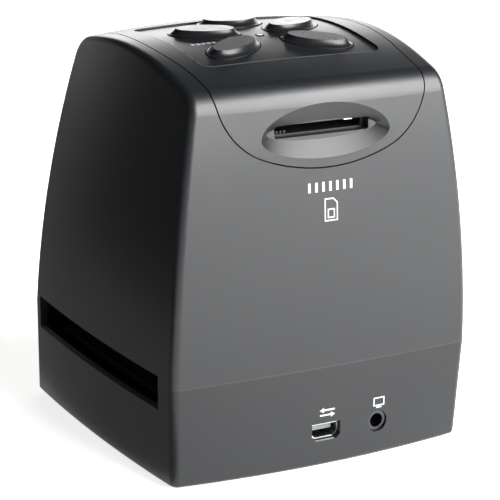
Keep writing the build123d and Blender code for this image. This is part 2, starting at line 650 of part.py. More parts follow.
# ---------------------------------------------------------------- keys, switches and light
key_roof = dome(WALL + TOP_EXTRA + BUTTON_GAP)
for name, x, y, half_long, half_short, turn in BUTTON_PLACES:
    level, lean = upright(x, y, turn), tilted(x, y, turn)
    with BuildPart() as key_lip:
        reach = BUTTON_SKIRT + BUTTON_LIP
        extrude(
            ellipse_on(level.offset(-BUTTON_DEEP), half_long + reach, half_short + reach),
            amount=BUTTON_DEEP,
        )
        add(key_roof, mode=Mode.INTERSECT)
    with BuildPart() as key_cap:
        extrude(
            ellipse_on(
                level.offset(-BUTTON_DEEP), half_long + BUTTON_SKIRT, half_short + BUTTON_SKIRT
            ),
            amount=BUTTON_DEEP + BUTTON_RISE,
        )
        split(bisect_by=lean.offset(KEY_STEP_LOW), keep=Keep.BOTTOM)
        steps = (
            (KEY_STEP_LOW, BUTTON_SKIRT - FIT),
            (KEY_STEP_MID, KEY_WAIST),
            (BUTTON_RISE, 0),
        )
        loft([ellipse_on(lean.offset(h), half_long + grow, half_short + grow) for h, grow in steps])
        add(key_lip.part)
    save(key_cap.part, "button_" + name)
    with BuildPart() as plunger:
        low_z = up(keypad_top_h + SWITCH_T - PLUNGER_SUNK)
        add(rods([(x, y)], PLUNGER_R, low_z, level.origin.Z - BUTTON_DEEP))
    save(plunger.part, "switch_plunger_" + name)

with BuildPart() as switch_bodies:
    for name, x, y, half_long, half_short, turn in BUTTON_PLACES:
        add(plate(x, y, up(keypad_top_h), SWITCH_W, SWITCH_W, SWITCH_T))
        add(
            rods([(x, y)], PLUNGER_R + PLUNGER_GAP, up(keypad_top_h), up(keypad_top_h + SWITCH_T)),
            mode=Mode.SUBTRACT,
        )
save(switch_bodies.part, "switch_bodies")


def screw_set(spots, seat_z, through, upward):
    """Upright board screws whose heads bear on seat_z and whose shanks run through a board."""
    way = 1 if upward else -1
    head = sorted((seat_z, seat_z - way * SCREW_HEAD_T))
    shank = sorted((seat_z, seat_z + way * (through + SCREW_BITE - CLEAR)))
    with BuildPart() as group:
        add(rods(spots, SCREW_HEAD_R, *head))
        add(rods(spots, SCREW_R, *shank))
    return group.part


with BuildPart() as keypad_board:
    add(
        plate(
            0, (KEYPAD_FRONT_Y + KEYPAD_REAR_Y) / 2, up(KEYPAD_BOARD_H),
            2 * KEYPAD_HALF_W, KEYPAD_REAR_Y - KEYPAD_FRONT_Y, BOARD_T, POST_R,
        )
    )
    add(rods(KEYPAD_POSTS, SCREW_R + FIT, up(KEYPAD_BOARD_H), up(keypad_top_h)), mode=Mode.SUBTRACT)
save(keypad_board.part, "keypad_board")
save(screw_set(KEYPAD_POSTS, up(KEYPAD_BOARD_H), BOARD_T, True), "keypad_screws")

save(plate(0, LIGHT_Y, up(keypad_top_h), *STATUS_LED_SIZE), "status_led")
with BuildPart() as light_pipe:
    pipe_low = up(keypad_top_h) + STATUS_LED_SIZE[2]
    pipe_top = up(top_height(0, LIGHT_Y) - PANEL_SINK) + CLEAR
    add(rods([(0, LIGHT_Y)], LIGHT_R, pipe_low, pipe_top))
    fillet(light_pipe.part.faces().sort_by(Axis.Z)[-1].edges(), LIGHT_R / 2)
save(light_pipe.part, "light_pipe")

# ---------------------------------------------------------------- screen
with BuildPart() as screen_flange:
    with BuildSketch(screen_plane.offset(-SCREEN_BACK)):
        RectangleRounded(SCREEN_W + 2 * SCREEN_LIP, SCREEN_L + 2 * SCREEN_LIP, SCREEN_R + SCREEN_LIP)
    extrude(amount=SCREEN_BACK)
    add(inner, mode=Mode.INTERSECT)

with BuildPart() as screen_frame:
    with BuildSketch(screen_plane.offset(-SCREEN_BACK)):
        RectangleRounded(SCREEN_W, SCREEN_L, SCREEN_R)
    extrude(amount=SCREEN_BACK + SCREEN_PROUD)
    fillet(screen_frame.part.faces().sort_by(Axis.Y)[0].edges(), SCREEN_EDGE_R)
    add(screen_flange.part)
    with BuildSketch(screen_plane.offset(SCREEN_PROUD - PANE_SUNK - PANE_T)):
        Rectangle(PANE_W + 2 * CLEAR, PANE_L + 2 * CLEAR)
    extrude(amount=PANE_T + 2 * PANE_SUNK, mode=Mode.SUBTRACT)
    with BuildSketch(screen_plane.offset(-2 * SCREEN_BACK)):
        Rectangle(VIEW_W, VIEW_L)
    extrude(amount=3 * SCREEN_BACK, mode=Mode.SUBTRACT)
save(screen_frame.part, "screen_frame")

with BuildPart() as screen_window:
    with BuildSketch(screen_plane.offset(SCREEN_PROUD - PANE_SUNK - PANE_T)):
        Rectangle(PANE_W, PANE_L)
    extrude(amount=PANE_T)
save(screen_window.part, "screen_window")

with BuildPart() as lcd_module:
    with BuildSketch(screen_plane.offset(-lcd_back)):
        Rectangle(LCD_W, LCD_L)
    extrude(amount=LCD_T)
save(lcd_module.part, "lcd_module")

with BuildPart() as lcd_carrier:
    add(rear_rods(main_posts, POST_R, MAIN_BOARD_Y, -SHOULDER_HALF_D - SCREEN_BACK))
    split(bisect_by=screen_plane.offset(-lcd_back - CARRIER_T / 2), keep=Keep.BOTTOM)
    with BuildSketch(screen_plane.offset(-lcd_back - CARRIER_T)):
        Rectangle(carrier_w, carrier_l)
    extrude(amount=LCD_T + CARRIER_T)
    with BuildSketch(screen_plane.offset(-lcd_back)):
        Rectangle(LCD_W + 2 * CLEAR, LCD_L + 2 * CLEAR)
    extrude(amount=LCD_T, mode=Mode.SUBTRACT)
    add(
        rear_rods(main_posts, SCREW_R + FIT, MAIN_BOARD_Y, MAIN_BOARD_Y - SCREW_BITE),
        mode=Mode.SUBTRACT,
    )
save(lcd_carrier.part, "lcd_carrier")

# ---------------------------------------------------------------- main board
with BuildPart() as main_board:
    with BuildSketch(Plane.XZ.offset(-main_board_rear_y)):
        with Locations((0, up((MAIN_BOARD_LOW_H + MAIN_BOARD_TOP_H) / 2))):
            Rectangle(2 * MAIN_BOARD_HALF_W, MAIN_BOARD_TOP_H - MAIN_BOARD_LOW_H)
        with Locations(*main_posts):
            Circle(SCREW_R + FIT, mode=Mode.SUBTRACT)
    extrude(amount=BOARD_T)
save(main_board.part, "main_board")

with BuildPart() as main_screws:
    add(rear_rods(main_posts, SCREW_HEAD_R, main_board_rear_y + SCREW_HEAD_T, main_board_rear_y))
    add(rear_rods(main_posts, SCREW_R, main_board_rear_y, MAIN_BOARD_Y - SCREW_BITE + CLEAR))
save(main_screws.part, "main_screws")

with BuildPart() as board_chips:
    for x, rise, chip_w, chip_l, chip_t in CHIPS:
        with BuildSketch(Plane.XZ.offset(-main_board_rear_y - chip_t)):
            with Locations((x, up(SCREEN_H + rise))):
                Rectangle(chip_w, chip_l)
        extrude(amount=chip_t)
save(board_chips.part, "board_chips")

# ---------------------------------------------------------------- light source under the film
with BuildPart() as backlight_board:
    add(plate(0, CHANNEL_Y, up(BACKLIGHT_BOARD_H), BACKLIGHT_W, BACKLIGHT_L, BOARD_T))
save(backlight_board.part, "backlight_board")

with BuildPart() as backlight_leds:
    with BuildSketch(Plane.XY.offset(up(backlight_top_h))):
        with Locations((0, CHANNEL_Y)):
            with GridLocations(LED_PITCH, LED_PITCH, 3, 2):
                Rectangle(LED_L, LED_W)
    extrude(amount=LED_T)
save(backlight_leds.part, "backlight_leds")

with BuildPart() as light_box:
    box_t = gate_under_h - backlight_top_h
    add(plate(0, CHANNEL_Y, up(backlight_top_h), LIGHT_BOX_W, LIGHT_BOX_L, box_t))
    well_w, well_l = LIGHT_BOX_W - 2 * LIGHT_BOX_WALL, LIGHT_BOX_L - 2 * LIGHT_BOX_WALL
    add(
        plate(0, CHANNEL_Y, up(gate_under_h - DIFFUSER_T), well_w, well_l, DIFFUSER_T),
        mode=Mode.SUBTRACT,
    )
    add(
        plate(
            0, CHANNEL_Y, up(backlight_top_h),
            well_w - 2 * DIFFUSER_SEAT, well_l - 2 * DIFFUSER_SEAT, box_t,
        ),
        mode=Mode.SUBTRACT,
    )
save(light_box.part, "light_box")
save(
    plate(
        0, CHANNEL_Y, up(gate_under_h - DIFFUSER_T),
        well_w - 2 * CLEAR, well_l - 2 * CLEAR, DIFFUSER_T,
    ),
    "diffuser",
)


# ---------------------------------------------------------------- film gates
def gate_plan(low_z, thickness):
    """A gate plate: wide between the screw bosses, and narrow past them to carry the rails."""
    with BuildPart() as block:
        with BuildSketch(Plane.XY.offset(low_z)):
            with Locations((0, CHANNEL_Y)):
                Rectangle(2 * GATE_HALF_W, 2 * GATE_SHORT_HALF_L)
                Rectangle(2 * RAIL_HALF_L, 2 * (SLOT_HALF_W + RAIL_T))
        extrude(amount=thickness)
    return block.part


with BuildPart() as film_gate_lower:
    add(gate_plan(up(gate_under_h), GATE_T))
    for side in (-1, 1):
        rail_mid = CHANNEL_Y + side * (SLOT_HALF_W + RAIL_T / 2)
        add(plate(0, rail_mid, up(gate_under_h), 2 * RAIL_HALF_L, RAIL_T, gate_high_h - gate_under_h))
    sleeve_r = DETENT_HEAD_R + CLEAR + DETENT_WALL
    sleeve_low_h = gate_under_h - DETENT_SLEEVE_L
    add(rods([(0, DETENT_Y)], sleeve_r, up(sleeve_low_h), up(gate_under_h)))
    add(
        rods([(0, DETENT_Y)], DETENT_HEAD_R + CLEAR, up(sleeve_low_h), up(gate_under_h)),
        mode=Mode.SUBTRACT,
    )
    add(rods([(0, DETENT_Y)], DETENT_R + FIT, up(gate_under_h), up(gate_low_h)), mode=Mode.SUBTRACT)
    add(
        plate(0, CHANNEL_Y, up(gate_under_h), FILM_WINDOW_W, FILM_WINDOW_L, GATE_T),
        mode=Mode.SUBTRACT,
    )
save(film_gate_lower.part, "film_gate_lower")

with BuildPart() as film_gate_upper:
    add(gate_plan(up(gate_high_h), GATE_T))
    add(plate(0, CHANNEL_Y, up(gate_high_h), MASK_W, MASK_L, GATE_T), mode=Mode.SUBTRACT)
save(film_gate_upper.part, "film_gate_upper")

# ---------------------------------------------------------------- film detent
head_top_h = gate_under_h - FIT
spring_top_h = head_top_h - DETENT_HEAD_T
spring_low_h = sleeve_low_h + DETENT_HEAD_T
with BuildPart() as detent_plunger:
    add(rods([(0, DETENT_Y)], DETENT_R, up(spring_top_h), up(gate_low_h + DETENT_RISE)))
    fillet(detent_plunger.part.faces().sort_by(Axis.Z)[-1].edges(), DETENT_TIP_R)
    add(rods([(0, DETENT_Y)], DETENT_HEAD_R, up(spring_top_h), up(head_top_h)))
save(detent_plunger.part, "detent_plunger")

with BuildPart() as detent_spring:
    add(rods([(0, DETENT_Y)], SPRING_OUTER_R, up(spring_low_h), up(spring_top_h)))
    add(rods([(0, DETENT_Y)], SPRING_INNER_R, up(spring_low_h), up(spring_top_h)), mode=Mode.SUBTRACT)
save(detent_spring.part, "detent_spring")
save(rods([(0, DETENT_Y)], DETENT_HEAD_R + CLEAR - FIT, up(sleeve_low_h), up(spring_low_h)), "detent_plug")

# ---------------------------------------------------------------- lens and sensor
with BuildPart() as lens_tunnel:
    mouth_w, mouth_l = MASK_W + TUNNEL_FOOT, MASK_L + TUNNEL_FOOT
    neck_w = HOLDER_W - 2 * TUNNEL_WALL
    add(
        plate(
            0, CHANNEL_Y, up(gate_over_h), mouth_w + 2 * (TUNNEL_WALL + TUNNEL_FOOT),
            mouth_l + 2 * (TUNNEL_WALL + TUNNEL_FOOT), TUNNEL_FOOT_T,
        )
    )
    for grow, mode in ((2 * TUNNEL_WALL, Mode.ADD), (0, Mode.SUBTRACT)):
        with BuildSketch(Plane.XY.offset(up(gate_over_h))):
            with Locations((0, CHANNEL_Y)):
                Rectangle(mouth_w + grow, mouth_l + grow)
        with BuildSketch(Plane.XY.offset(up(TUNNEL_TOP_H))):
            with Locations((0, CHANNEL_Y)):
                Rectangle(neck_w + grow, neck_w + grow)
        loft(mode=mode)
save(lens_tunnel.part, "lens_tunnel")

with BuildPart() as lens_holder:
    bore_top_h = barrel_top_h + HOLDER_ROOM
    filter_top_h = bore_top_h + FILTER_T + FIT
    add(plate(0, CHANNEL_Y, up(TUNNEL_TOP_H), HOLDER_W, HOLDER_W, HOLDER_T))
    add(rods([(0, CHANNEL_Y)], BARREL_R + FIT, up(TUNNEL_TOP_H), up(bore_top_h)), mode=Mode.SUBTRACT)
    filter_well = FILTER_W + 2 * CLEAR
    add(
        plate(0, CHANNEL_Y, up(bore_top_h), filter_well, filter_well, FILTER_T + FIT),
        mode=Mode.SUBTRACT,
    )
    add(plate(0, CHANNEL_Y, up(filter_top_h), SENSOR_W, SENSOR_W, HOLDER_T), mode=Mode.SUBTRACT)
    sensor_well = SENSOR_W + 2 * SENSOR_MARGIN
    add(
        plate(0, CHANNEL_Y, up(holder_top_h - 2 * SENSOR_T), sensor_well, sensor_well, 3 * SENSOR_T),
        mode=Mode.SUBTRACT,
    )
save(lens_holder.part, "lens_holder")

with BuildPart() as lens_barrel:
    add(rods([(0, CHANNEL_Y)], BARREL_R, up(barrel_low_h), up(barrel_top_h)))
    add(
        rods([(0, CHANNEL_Y)], BARREL_R - BARREL_WALL, up(barrel_low_h), up(barrel_top_h)),
        mode=Mode.SUBTRACT,
    )
save(lens_barrel.part, "lens_barrel")

with BuildPart() as lens_elements:
    barrel_mid_h = (barrel_low_h + barrel_top_h) / 2
    for side in (-1, 1):
        low = up(barrel_mid_h + side * LENS_PITCH / 2 - LENS_T / 2)
        add(rods([(0, CHANNEL_Y)], BARREL_R - BARREL_WALL - FIT, low, low + LENS_T))
save(lens_elements.part, "lens_elements")

save(plate(0, CHANNEL_Y, up(filter_top_h - FILTER_T), FILTER_W, FILTER_W, FILTER_T), "infrared_filter")
save(plate(0, CHANNEL_Y, up(holder_top_h - SENSOR_T), SENSOR_W, SENSOR_W, SENSOR_T), "image_sensor")
save(
    plate(0, CHANNEL_Y, up(holder_top_h), SENSOR_BOARD_W, SENSOR_BOARD_W, BOARD_T),
    "sensor_board",
)

# ---------------------------------------------------------------- card socket
with BuildPart() as card_board:
    add(
        plate(
            0, (CARD_BOARD_FRONT_Y + card_rear_y) / 2, up(CARD_BOARD_H),
            2 * CARD_BOARD_HALF_W, card_rear_y - CARD_BOARD_FRONT_Y, BOARD_T,
        )
    )
    add(rods(card_posts, SCREW_R + FIT, up(CARD_BOARD_H), up(card_board_top_h)), mode=Mode.SUBTRACT)
save(card_board.part, "card_board")
save(screw_set(card_posts, up(CARD_BOARD_H), BOARD_T, True), "card_screws")

bay_low_h = CARD_SLOT_H - CARD_BAY_T / 2
socket_top_h = CARD_SLOT_H + CARD_BAY_T / 2 + SOCKET_WALL / 2
socket_l = card_rear_y - SOCKET_FRONT_Y
socket_mid_y = SOCKET_FRONT_Y + socket_l / 2
with BuildPart() as card_socket:
    add(
        plate(
            0, socket_mid_y, up(card_board_top_h), SOCKET_W, socket_l, socket_top_h - card_board_top_h
        )
    )
    add(
        plate(0, socket_mid_y + SOCKET_WALL, up(bay_low_h), CARD_BAY_W, socket_l, CARD_BAY_T),
        mode=Mode.SUBTRACT,
    )
save(card_socket.part, "card_socket")

with BuildPart() as card_shield:
    shield_t = socket_top_h - card_board_top_h
    add(
        plate(
            0, socket_mid_y, up(card_board_top_h), SOCKET_W + 2 * SHIELD_T, socket_l,
            shield_t + SHIELD_T,
        )
    )
    add(
        plate(0, socket_mid_y, up(card_board_top_h), SOCKET_W, 2 * socket_l, shield_t),
        mode=Mode.SUBTRACT,
    )
save(card_shield.part, "card_shield")

with BuildPart() as card_contacts:
    with BuildSketch(Plane.XY.offset(up(bay_low_h))):
        with Locations((0, SOCKET_FRONT_Y + SOCKET_WALL + CONTACT_L / 2)):
            with GridLocations(CONTACT_PITCH, 0, CONTACT_COUNT, 1):
                Rectangle(CONTACT_W, CONTACT_L)
    extrude(amount=CONTACT_T)
save(card_contacts.part, "card_contacts")

# ---------------------------------------------------------------- socket board at the foot of the rear
jack_front_y = jack_mouth_y - JACK_L
with BuildPart() as io_board:
    add(
        plate(
            0, (IO_BOARD_FRONT_Y + IO_BOARD_REAR_Y) / 2, up(io_under_h),
            2 * IO_BOARD_HALF_W, IO_BOARD_REAR_Y - IO_BOARD_FRONT_Y, BOARD_T,
        )
    )
    add(
        plate(
            JACK_X, jack_front_y + JACK_L, up(io_under_h),
            JACK_W + 2 * CLEAR, 2 * (JACK_L + CLEAR), BOARD_T,
        ),
        mode=Mode.SUBTRACT,
    )
    add(rods(io_posts, SCREW_R + FIT, up(io_under_h), up(IO_BOARD_TOP_H)), mode=Mode.SUBTRACT)
save(io_board.part, "io_board")
save(screw_set(io_posts, up(IO_BOARD_TOP_H), BOARD_T, False), "io_screws")

with BuildPart() as usb_shell:
    extrude(usb_profile(0), amount=USB_L)
    extrude(usb_profile(-USB_WALL), amount=USB_L - 2 * USB_WALL, mode=Mode.SUBTRACT)
save(usb_shell.part, "usb_shell")

with BuildPart() as usb_tongue:
    tongue_h = IO_BOARD_TOP_H + USB_T - USB_WALL - USB_TONGUE_GAP - USB_TONGUE_T
    tongue_front_y = usb_mouth_y - USB_L + 2 * USB_WALL
    add(
        plate(
            0, tongue_front_y + USB_TONGUE_L / 2, up(tongue_h), USB_TONGUE_W, USB_TONGUE_L, USB_TONGUE_T
        )
    )
save(usb_tongue.part, "usb_tongue")

jack_spot = [(JACK_X, up(JACK_H))]
with BuildPart() as av_jack:
    add(
        plate(
            JACK_X, jack_front_y + JACK_L / 2, up(JACK_H - JACK_T / 2), JACK_W, JACK_L, JACK_T
        )
    )
    add(
        plate(
            JACK_X, jack_front_y + JACK_L / 2, up(IO_BOARD_TOP_H),
            JACK_W + 2 * JACK_EAR, JACK_L - 2 * JACK_EAR, JACK_EAR_T,
        )
    )
    add(
        rear_rods(jack_spot, JACK_BORE_R, jack_mouth_y, jack_front_y + JACK_EAR),
        mode=Mode.SUBTRACT,
    )
save(av_jack.part, "av_jack")

with BuildPart() as av_jack_ring:
    add(rear_rods(jack_spot, JACK_RING_R, jack_wall_y - JACK_SUNK, jack_mouth_y))
    add(
        rear_rods(jack_spot, JACK_BORE_R, jack_wall_y - JACK_SUNK, jack_mouth_y),
        mode=Mode.SUBTRACT,
    )
save(av_jack_ring.part, "av_jack_ring")


# ---------------------------------------------------------------- flat cables
def flat_cable(points, x, width):
    """A flat cable: a thin strip along a line in Y and Z, given in plan width along X."""
    with BuildPart() as cable:
        with BuildSketch(Plane.YZ.offset(x - width / 2)):
            with BuildLine():
                Polyline(*points)
            trace(line_width=RIBBON_T)
        extrude(amount=width)
    return cable.part


over_board_h = sensor_board_top_h + RIBBON_T / 2
sensor_rear_y = CHANNEL_Y + SENSOR_BOARD_W / 2
sensor_front_y = CHANNEL_Y - SENSOR_BOARD_W / 2
io_route = [
    (IO_RIBBON_Y, up(IO_BOARD_TOP_H)),
    (IO_RIBBON_Y, up(TUNNEL_TOP_H - IO_RIBBON_DROP)),
    (sensor_rear_y + RIBBON_OVERHANG, up(over_board_h)),
    (sensor_rear_y - RIBBON_LAP, up(over_board_h)),
]
save(flat_cable(io_route, IO_RIBBON_X, IO_RIBBON_W), "io_ribbon")

sensor_route = [
    (main_board_rear_y, up(over_board_h)),
    (sensor_front_y + RIBBON_LAP, up(over_board_h)),
]
save(flat_cable(sensor_route, 0, IO_RIBBON_W), "sensor_ribbon")

keypad_ribbon_y = main_board_rear_y + RIBBON_T / 2
keypad_route = [
    (keypad_ribbon_y, up(MAIN_BOARD_TOP_H - RIBBON_LAP)),
    (keypad_ribbon_y, up(KEYPAD_BOARD_H)),
]
save(flat_cable(keypad_route, 0, IO_RIBBON_W), "keypad_ribbon")
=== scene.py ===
"""The look of a film negative scanner: finishes, printed marks, small hardware, studio and camera.

Blender works in metres, so every size here is written in millimetres times MM.
The rear of the object, with the card slot and the sockets, faces +Y; its keys are on top.
"""

import logging
import math
from dataclasses import dataclass
from enum import Enum

import bpy
import numpy as np
from mathutils import Matrix, Vector
from mathutils.bvhtree import BVHTree


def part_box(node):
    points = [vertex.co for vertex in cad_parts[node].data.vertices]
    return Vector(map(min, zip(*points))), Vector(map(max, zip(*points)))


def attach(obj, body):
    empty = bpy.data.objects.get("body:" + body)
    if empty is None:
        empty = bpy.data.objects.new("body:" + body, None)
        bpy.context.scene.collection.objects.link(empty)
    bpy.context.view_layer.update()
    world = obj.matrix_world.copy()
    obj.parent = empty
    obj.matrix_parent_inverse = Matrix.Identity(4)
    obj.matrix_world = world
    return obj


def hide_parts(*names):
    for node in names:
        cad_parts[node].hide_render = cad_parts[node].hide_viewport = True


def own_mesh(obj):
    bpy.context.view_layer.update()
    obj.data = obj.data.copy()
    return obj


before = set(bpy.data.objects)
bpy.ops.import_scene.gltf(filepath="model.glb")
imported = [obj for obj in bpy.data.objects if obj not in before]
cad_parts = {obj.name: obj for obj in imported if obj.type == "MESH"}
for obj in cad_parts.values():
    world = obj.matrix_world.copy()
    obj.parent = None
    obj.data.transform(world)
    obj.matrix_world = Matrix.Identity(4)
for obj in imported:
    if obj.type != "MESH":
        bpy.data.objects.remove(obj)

MM = 0.001
LOG = logging.getLogger("film_scanner")

Point = tuple[float, float]
SHELLS = ("base_shell", "upper_shell", "top_cover")


class Body(Enum):
    """The CAD bodies that a piece can ride on."""

    CASE = "body"
    KEY_RIGHT = "key_right"
    KEY_LEFT = "key_left"


class Aim(Enum):
    """The way from which a flat mark is laid on a surface."""

    REAR = (0.0, -1.0, 0.0)
    TOP = (0.0, 0.0, -1.0)


# ---------------------------------------------------------------- node and mesh helpers
def linear(code: str, share: float = 1.0) -> tuple[float, float, float, float]:
    """Turn an sRGB hex colour such as "#3A3B3D" into linear RGBA, and keep a share of its light."""
    parts = [int(code[i:i + 2], 16) / 255 for i in (1, 3, 5)]
    turned = [p / 12.92 if p <= 0.04045 else ((p + 0.055) / 1.055) ** 2.4 for p in parts]
    return (*(share * p for p in turned), 1.0)


def feed(tree: bpy.types.NodeTree, node: bpy.types.Node, inputs: dict) -> None:
    """Set or link some inputs of a node.

    Args:
        tree: The node's tree.
        node: The node.
        inputs: By input name or number, a value, a socket, a node that stands for its first output
            in use, or a list of sockets or nodes.
    """
    for name, given in inputs.items():
        for value in given if isinstance(given, list) else [given]:
            if isinstance(value, bpy.types.Node):
                value = next(s for s in value.outputs if s.enabled)
            if isinstance(value, bpy.types.NodeSocket):
                tree.links.new(value, node.inputs[name])
            else:
                node.inputs[name].default_value = value


def add(
    tree: bpy.types.NodeTree, kind: str, inputs: dict | None = None, **settings: object
) -> bpy.types.Node:
    """Add a node with its settings, input values and links.

    Args:
        tree: The node tree that gets the node.
        kind: The node's type name.
        inputs: What its inputs get, as feed takes it.
        settings: The node's own properties.

    Returns:
        The new node.
    """
    made = tree.nodes.new(kind)
    for name, value in settings.items():
        setattr(made, name, value)
    feed(tree, made, inputs or {})
    return made


def blank(name: str) -> tuple[bpy.types.Material, bpy.types.NodeTree, bpy.types.Node]:
    """A new material, its node tree and its shader."""
    material = bpy.data.materials.new(name)
    material.use_nodes = True
    return material, material.node_tree, material.node_tree.nodes["Principled BSDF"]


def per_mm(size: float) -> float:
    """The scale of a texture whose cells are to be size millimetres wide."""
    return 1 / (size * MM)


def placed(name: str, data: bpy.types.ID) -> bpy.types.Object:
    """A new object of the scene that holds some data."""
    made = bpy.data.objects.new(name, data)
    bpy.context.scene.collection.objects.link(made)
    return made


def put(name: str, verts: list, faces: list, material: bpy.types.Material, body: Body) -> bpy.types.Object:
    """Make a mesh piece that rides on a body.

    Args:
        name: The piece's name.
        verts: Its points, in metres, in the frame of the CAD.
        faces: Its faces, as lists of point numbers.
        material: Its finish.
        body: The body that it rides on.

    Returns:
        The piece.
    """
    mesh = bpy.data.meshes.new(name)
    mesh.from_pydata(verts, [], faces)
    mesh.materials.append(material)
    mesh.update()
    piece = placed(name, mesh)
    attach(piece, body.value)
    LOG.info("%s: %d faces on %s", name, len(faces), body.value)
    return piece


def dress(material: bpy.types.Material, *nodes: str) -> None:
    """Give CAD nodes a finish."""
    for name in nodes:
        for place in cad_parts[name].material_slots:
            place.material = material


# ---------------------------------------------------------------- finishes
@dataclass(frozen=True)
class MouldedPlastic:
    """Injection-moulded plastic: ABS, polystyrene or acetal.

    The tool's spark-eroded face leaves a fine even grain, which scatters the highlight,
    and the melt's flow leaves faint broad patches of gloss.
    """

    name: str
    colour: str
    roughness: float
    grain: float
    depth: float
    ior: float = 1.53
    mottle: float = 9.0
    spread: float = 0.05
    gloss: float = 0.5
    shade: float = 0.2
    # A painted sheen: above this height, in millimetres, the gloss doubles, as a fine line in place of a
    # highlight.
    sheen_line_height: float = 0.0
    sheen_line_width: float = 0.3

    def build(self) -> bpy.types.Material:
        """Build the material. Above its line height, where it has one, the gloss doubles: a painted sheen
        that shows as a fine glossier line in place of a highlight.
        """
        material, tree, shader = blank(self.name)
        place = add(tree, "ShaderNodeTexCoord").outputs["Object"]
        inputs = {"Vector": place, "Scale": per_mm(self.grain), "Detail": 3.0}
        grain = add(tree, "ShaderNodeTexNoise", inputs)
        inputs = {"Vector": place, "Scale": per_mm(self.mottle), "Detail": 2.0}
        flow = add(tree, "ShaderNodeTexNoise", inputs)
        inputs = {"Height": grain, "Strength": 1.0, "Distance": self.depth * MM}
        bump = add(tree, "ShaderNodeBump", inputs)
        low, high = self.roughness - self.spread, self.roughness + self.spread
        inputs = {"Value": flow, "From Min": 0.3, "From Max": 0.7, "To Min": low, "To Max": high}
        polish = add(tree, "ShaderNodeMapRange", inputs)
        dark, light = linear(self.colour, 1 - self.shade), linear(self.colour, 1 + self.shade)
        shades = add(tree, "ShaderNodeMix", {"Factor": grain, "A": dark, "B": light}, data_type="RGBA")
        gloss = self.gloss
        # Painted sheen: the gloss ramps up to double over the last width below the line height.
        if self.sheen_line_height:
            height = add(tree, "ShaderNodeSeparateXYZ", {"Vector": place}).outputs["Z"]
            low, high = (self.sheen_line_height - self.sheen_line_width) * MM, self.sheen_line_height * MM
            inputs = {
                "Value": height, "From Min": low, "From Max": high, "To Min": gloss, "To Max": gloss * 2,
            }
            gloss = add(tree, "ShaderNodeMapRange", inputs)
        feed(tree, shader, {
            "Base Color": shades, "Roughness": polish, "Normal": bump, "IOR": self.ior,
            "Specular IOR Level": gloss,
        })
        return material


@dataclass(frozen=True)
class Metal:
    """A plated or machined metal, with fine lines from drawing or turning across its highlight."""

    name: str
    colour: str
    roughness: float
    line: float = 0.12
    depth: float = 0.002
    stretch: float = 12.0
    stain: float = 3.0
    stain_shade: float = 0.78
    sheen: float = 0.3

    def build(self) -> bpy.types.Material:
        """Build the material."""
        material, tree, shader = blank(self.name)
        place = add(tree, "ShaderNodeTexCoord").outputs["Object"]
        drawn = add(tree, "ShaderNodeMapping", {"Vector": place, "Scale": (1.0, 1.0, self.stretch)})
        inputs = {"Vector": drawn, "Scale": per_mm(self.line), "Detail": 2.0}
        lines = add(tree, "ShaderNodeTexNoise", inputs)
        inputs = {"Vector": place, "Scale": per_mm(self.stain), "Detail": 4.0}
        stain = add(tree, "ShaderNodeTexNoise", inputs)
        inputs = {"Factor": stain, "A": linear(self.colour), "B": linear(self.colour, self.stain_shade)}
        shade = add(tree, "ShaderNodeMix", inputs, data_type="RGBA")
        low, high = self.roughness * (1 - self.sheen), self.roughness * (1 + self.sheen)
        gloss = add(tree, "ShaderNodeMapRange", {"Value": lines, "To Min": low, "To Max": high})
        inputs = {"Height": lines, "Strength": 0.6, "Distance": self.depth * MM}
        bump = add(tree, "ShaderNodeBump", inputs)
        feed(tree, shader, {"Base Color": shade, "Roughness": gloss, "Normal": bump, "Metallic": 1.0})
        return material


@dataclass(frozen=True)
class CircuitBoard:
    """Glass-epoxy board under a green lacquer.

    Its copper tracks show through as lighter lines, with tinned dots at the vias.
    """

    name: str = "lacquered_glass_epoxy"
    lacquer: str = "#14422A"
    track: str = "#2A6B43"
    tin: str = "#B9BDBE"
    track_pitch: float = 1.6
    track_edge: tuple[float, float] = (0.42, 0.5)
    track_height: float = 0.03
    via_pitch: float = 2.3
    via_share: float = 0.12
    roughness: float = 0.28
    ior: float = 1.5

    def build(self) -> bpy.types.Material:
        """Build the material."""
        material, tree, shader = blank(self.name)
        place = add(tree, "ShaderNodeTexCoord").outputs["Object"]
        inputs = {"Vector": place, "Scale": per_mm(self.track_pitch), "Randomness": 0.8}
        cells = add(tree, "ShaderNodeTexVoronoi", inputs, feature="F1", distance="CHEBYCHEV")
        low, high = self.track_edge
        edges = add(tree, "ShaderNodeMapRange", {"Value": cells, "From Min": low, "From Max": high})
        inputs = {"Vector": place, "Scale": per_mm(self.via_pitch), "Randomness": 0.9}
        dots = add(tree, "ShaderNodeTexVoronoi", inputs)
        via = add(tree, "ShaderNodeMath", {0: dots, 1: self.via_share}, operation="LESS_THAN")
        inputs = {"Factor": edges, "A": linear(self.lacquer), "B": linear(self.track)}
        lacquer = add(tree, "ShaderNodeMix", inputs, data_type="RGBA")
        inputs = {"Factor": via, "A": lacquer, "B": linear(self.tin)}
        shade = add(tree, "ShaderNodeMix", inputs, data_type="RGBA")
        inputs = {"Height": edges, "Strength": 0.5, "Distance": self.track_height * MM}
        bump = add(tree, "ShaderNodeBump", inputs)
        feed(tree, shader, {
            "Base Color": shade, "Metallic": via, "Normal": bump, "Roughness": self.roughness,
            "IOR": self.ior,
        })
        return material


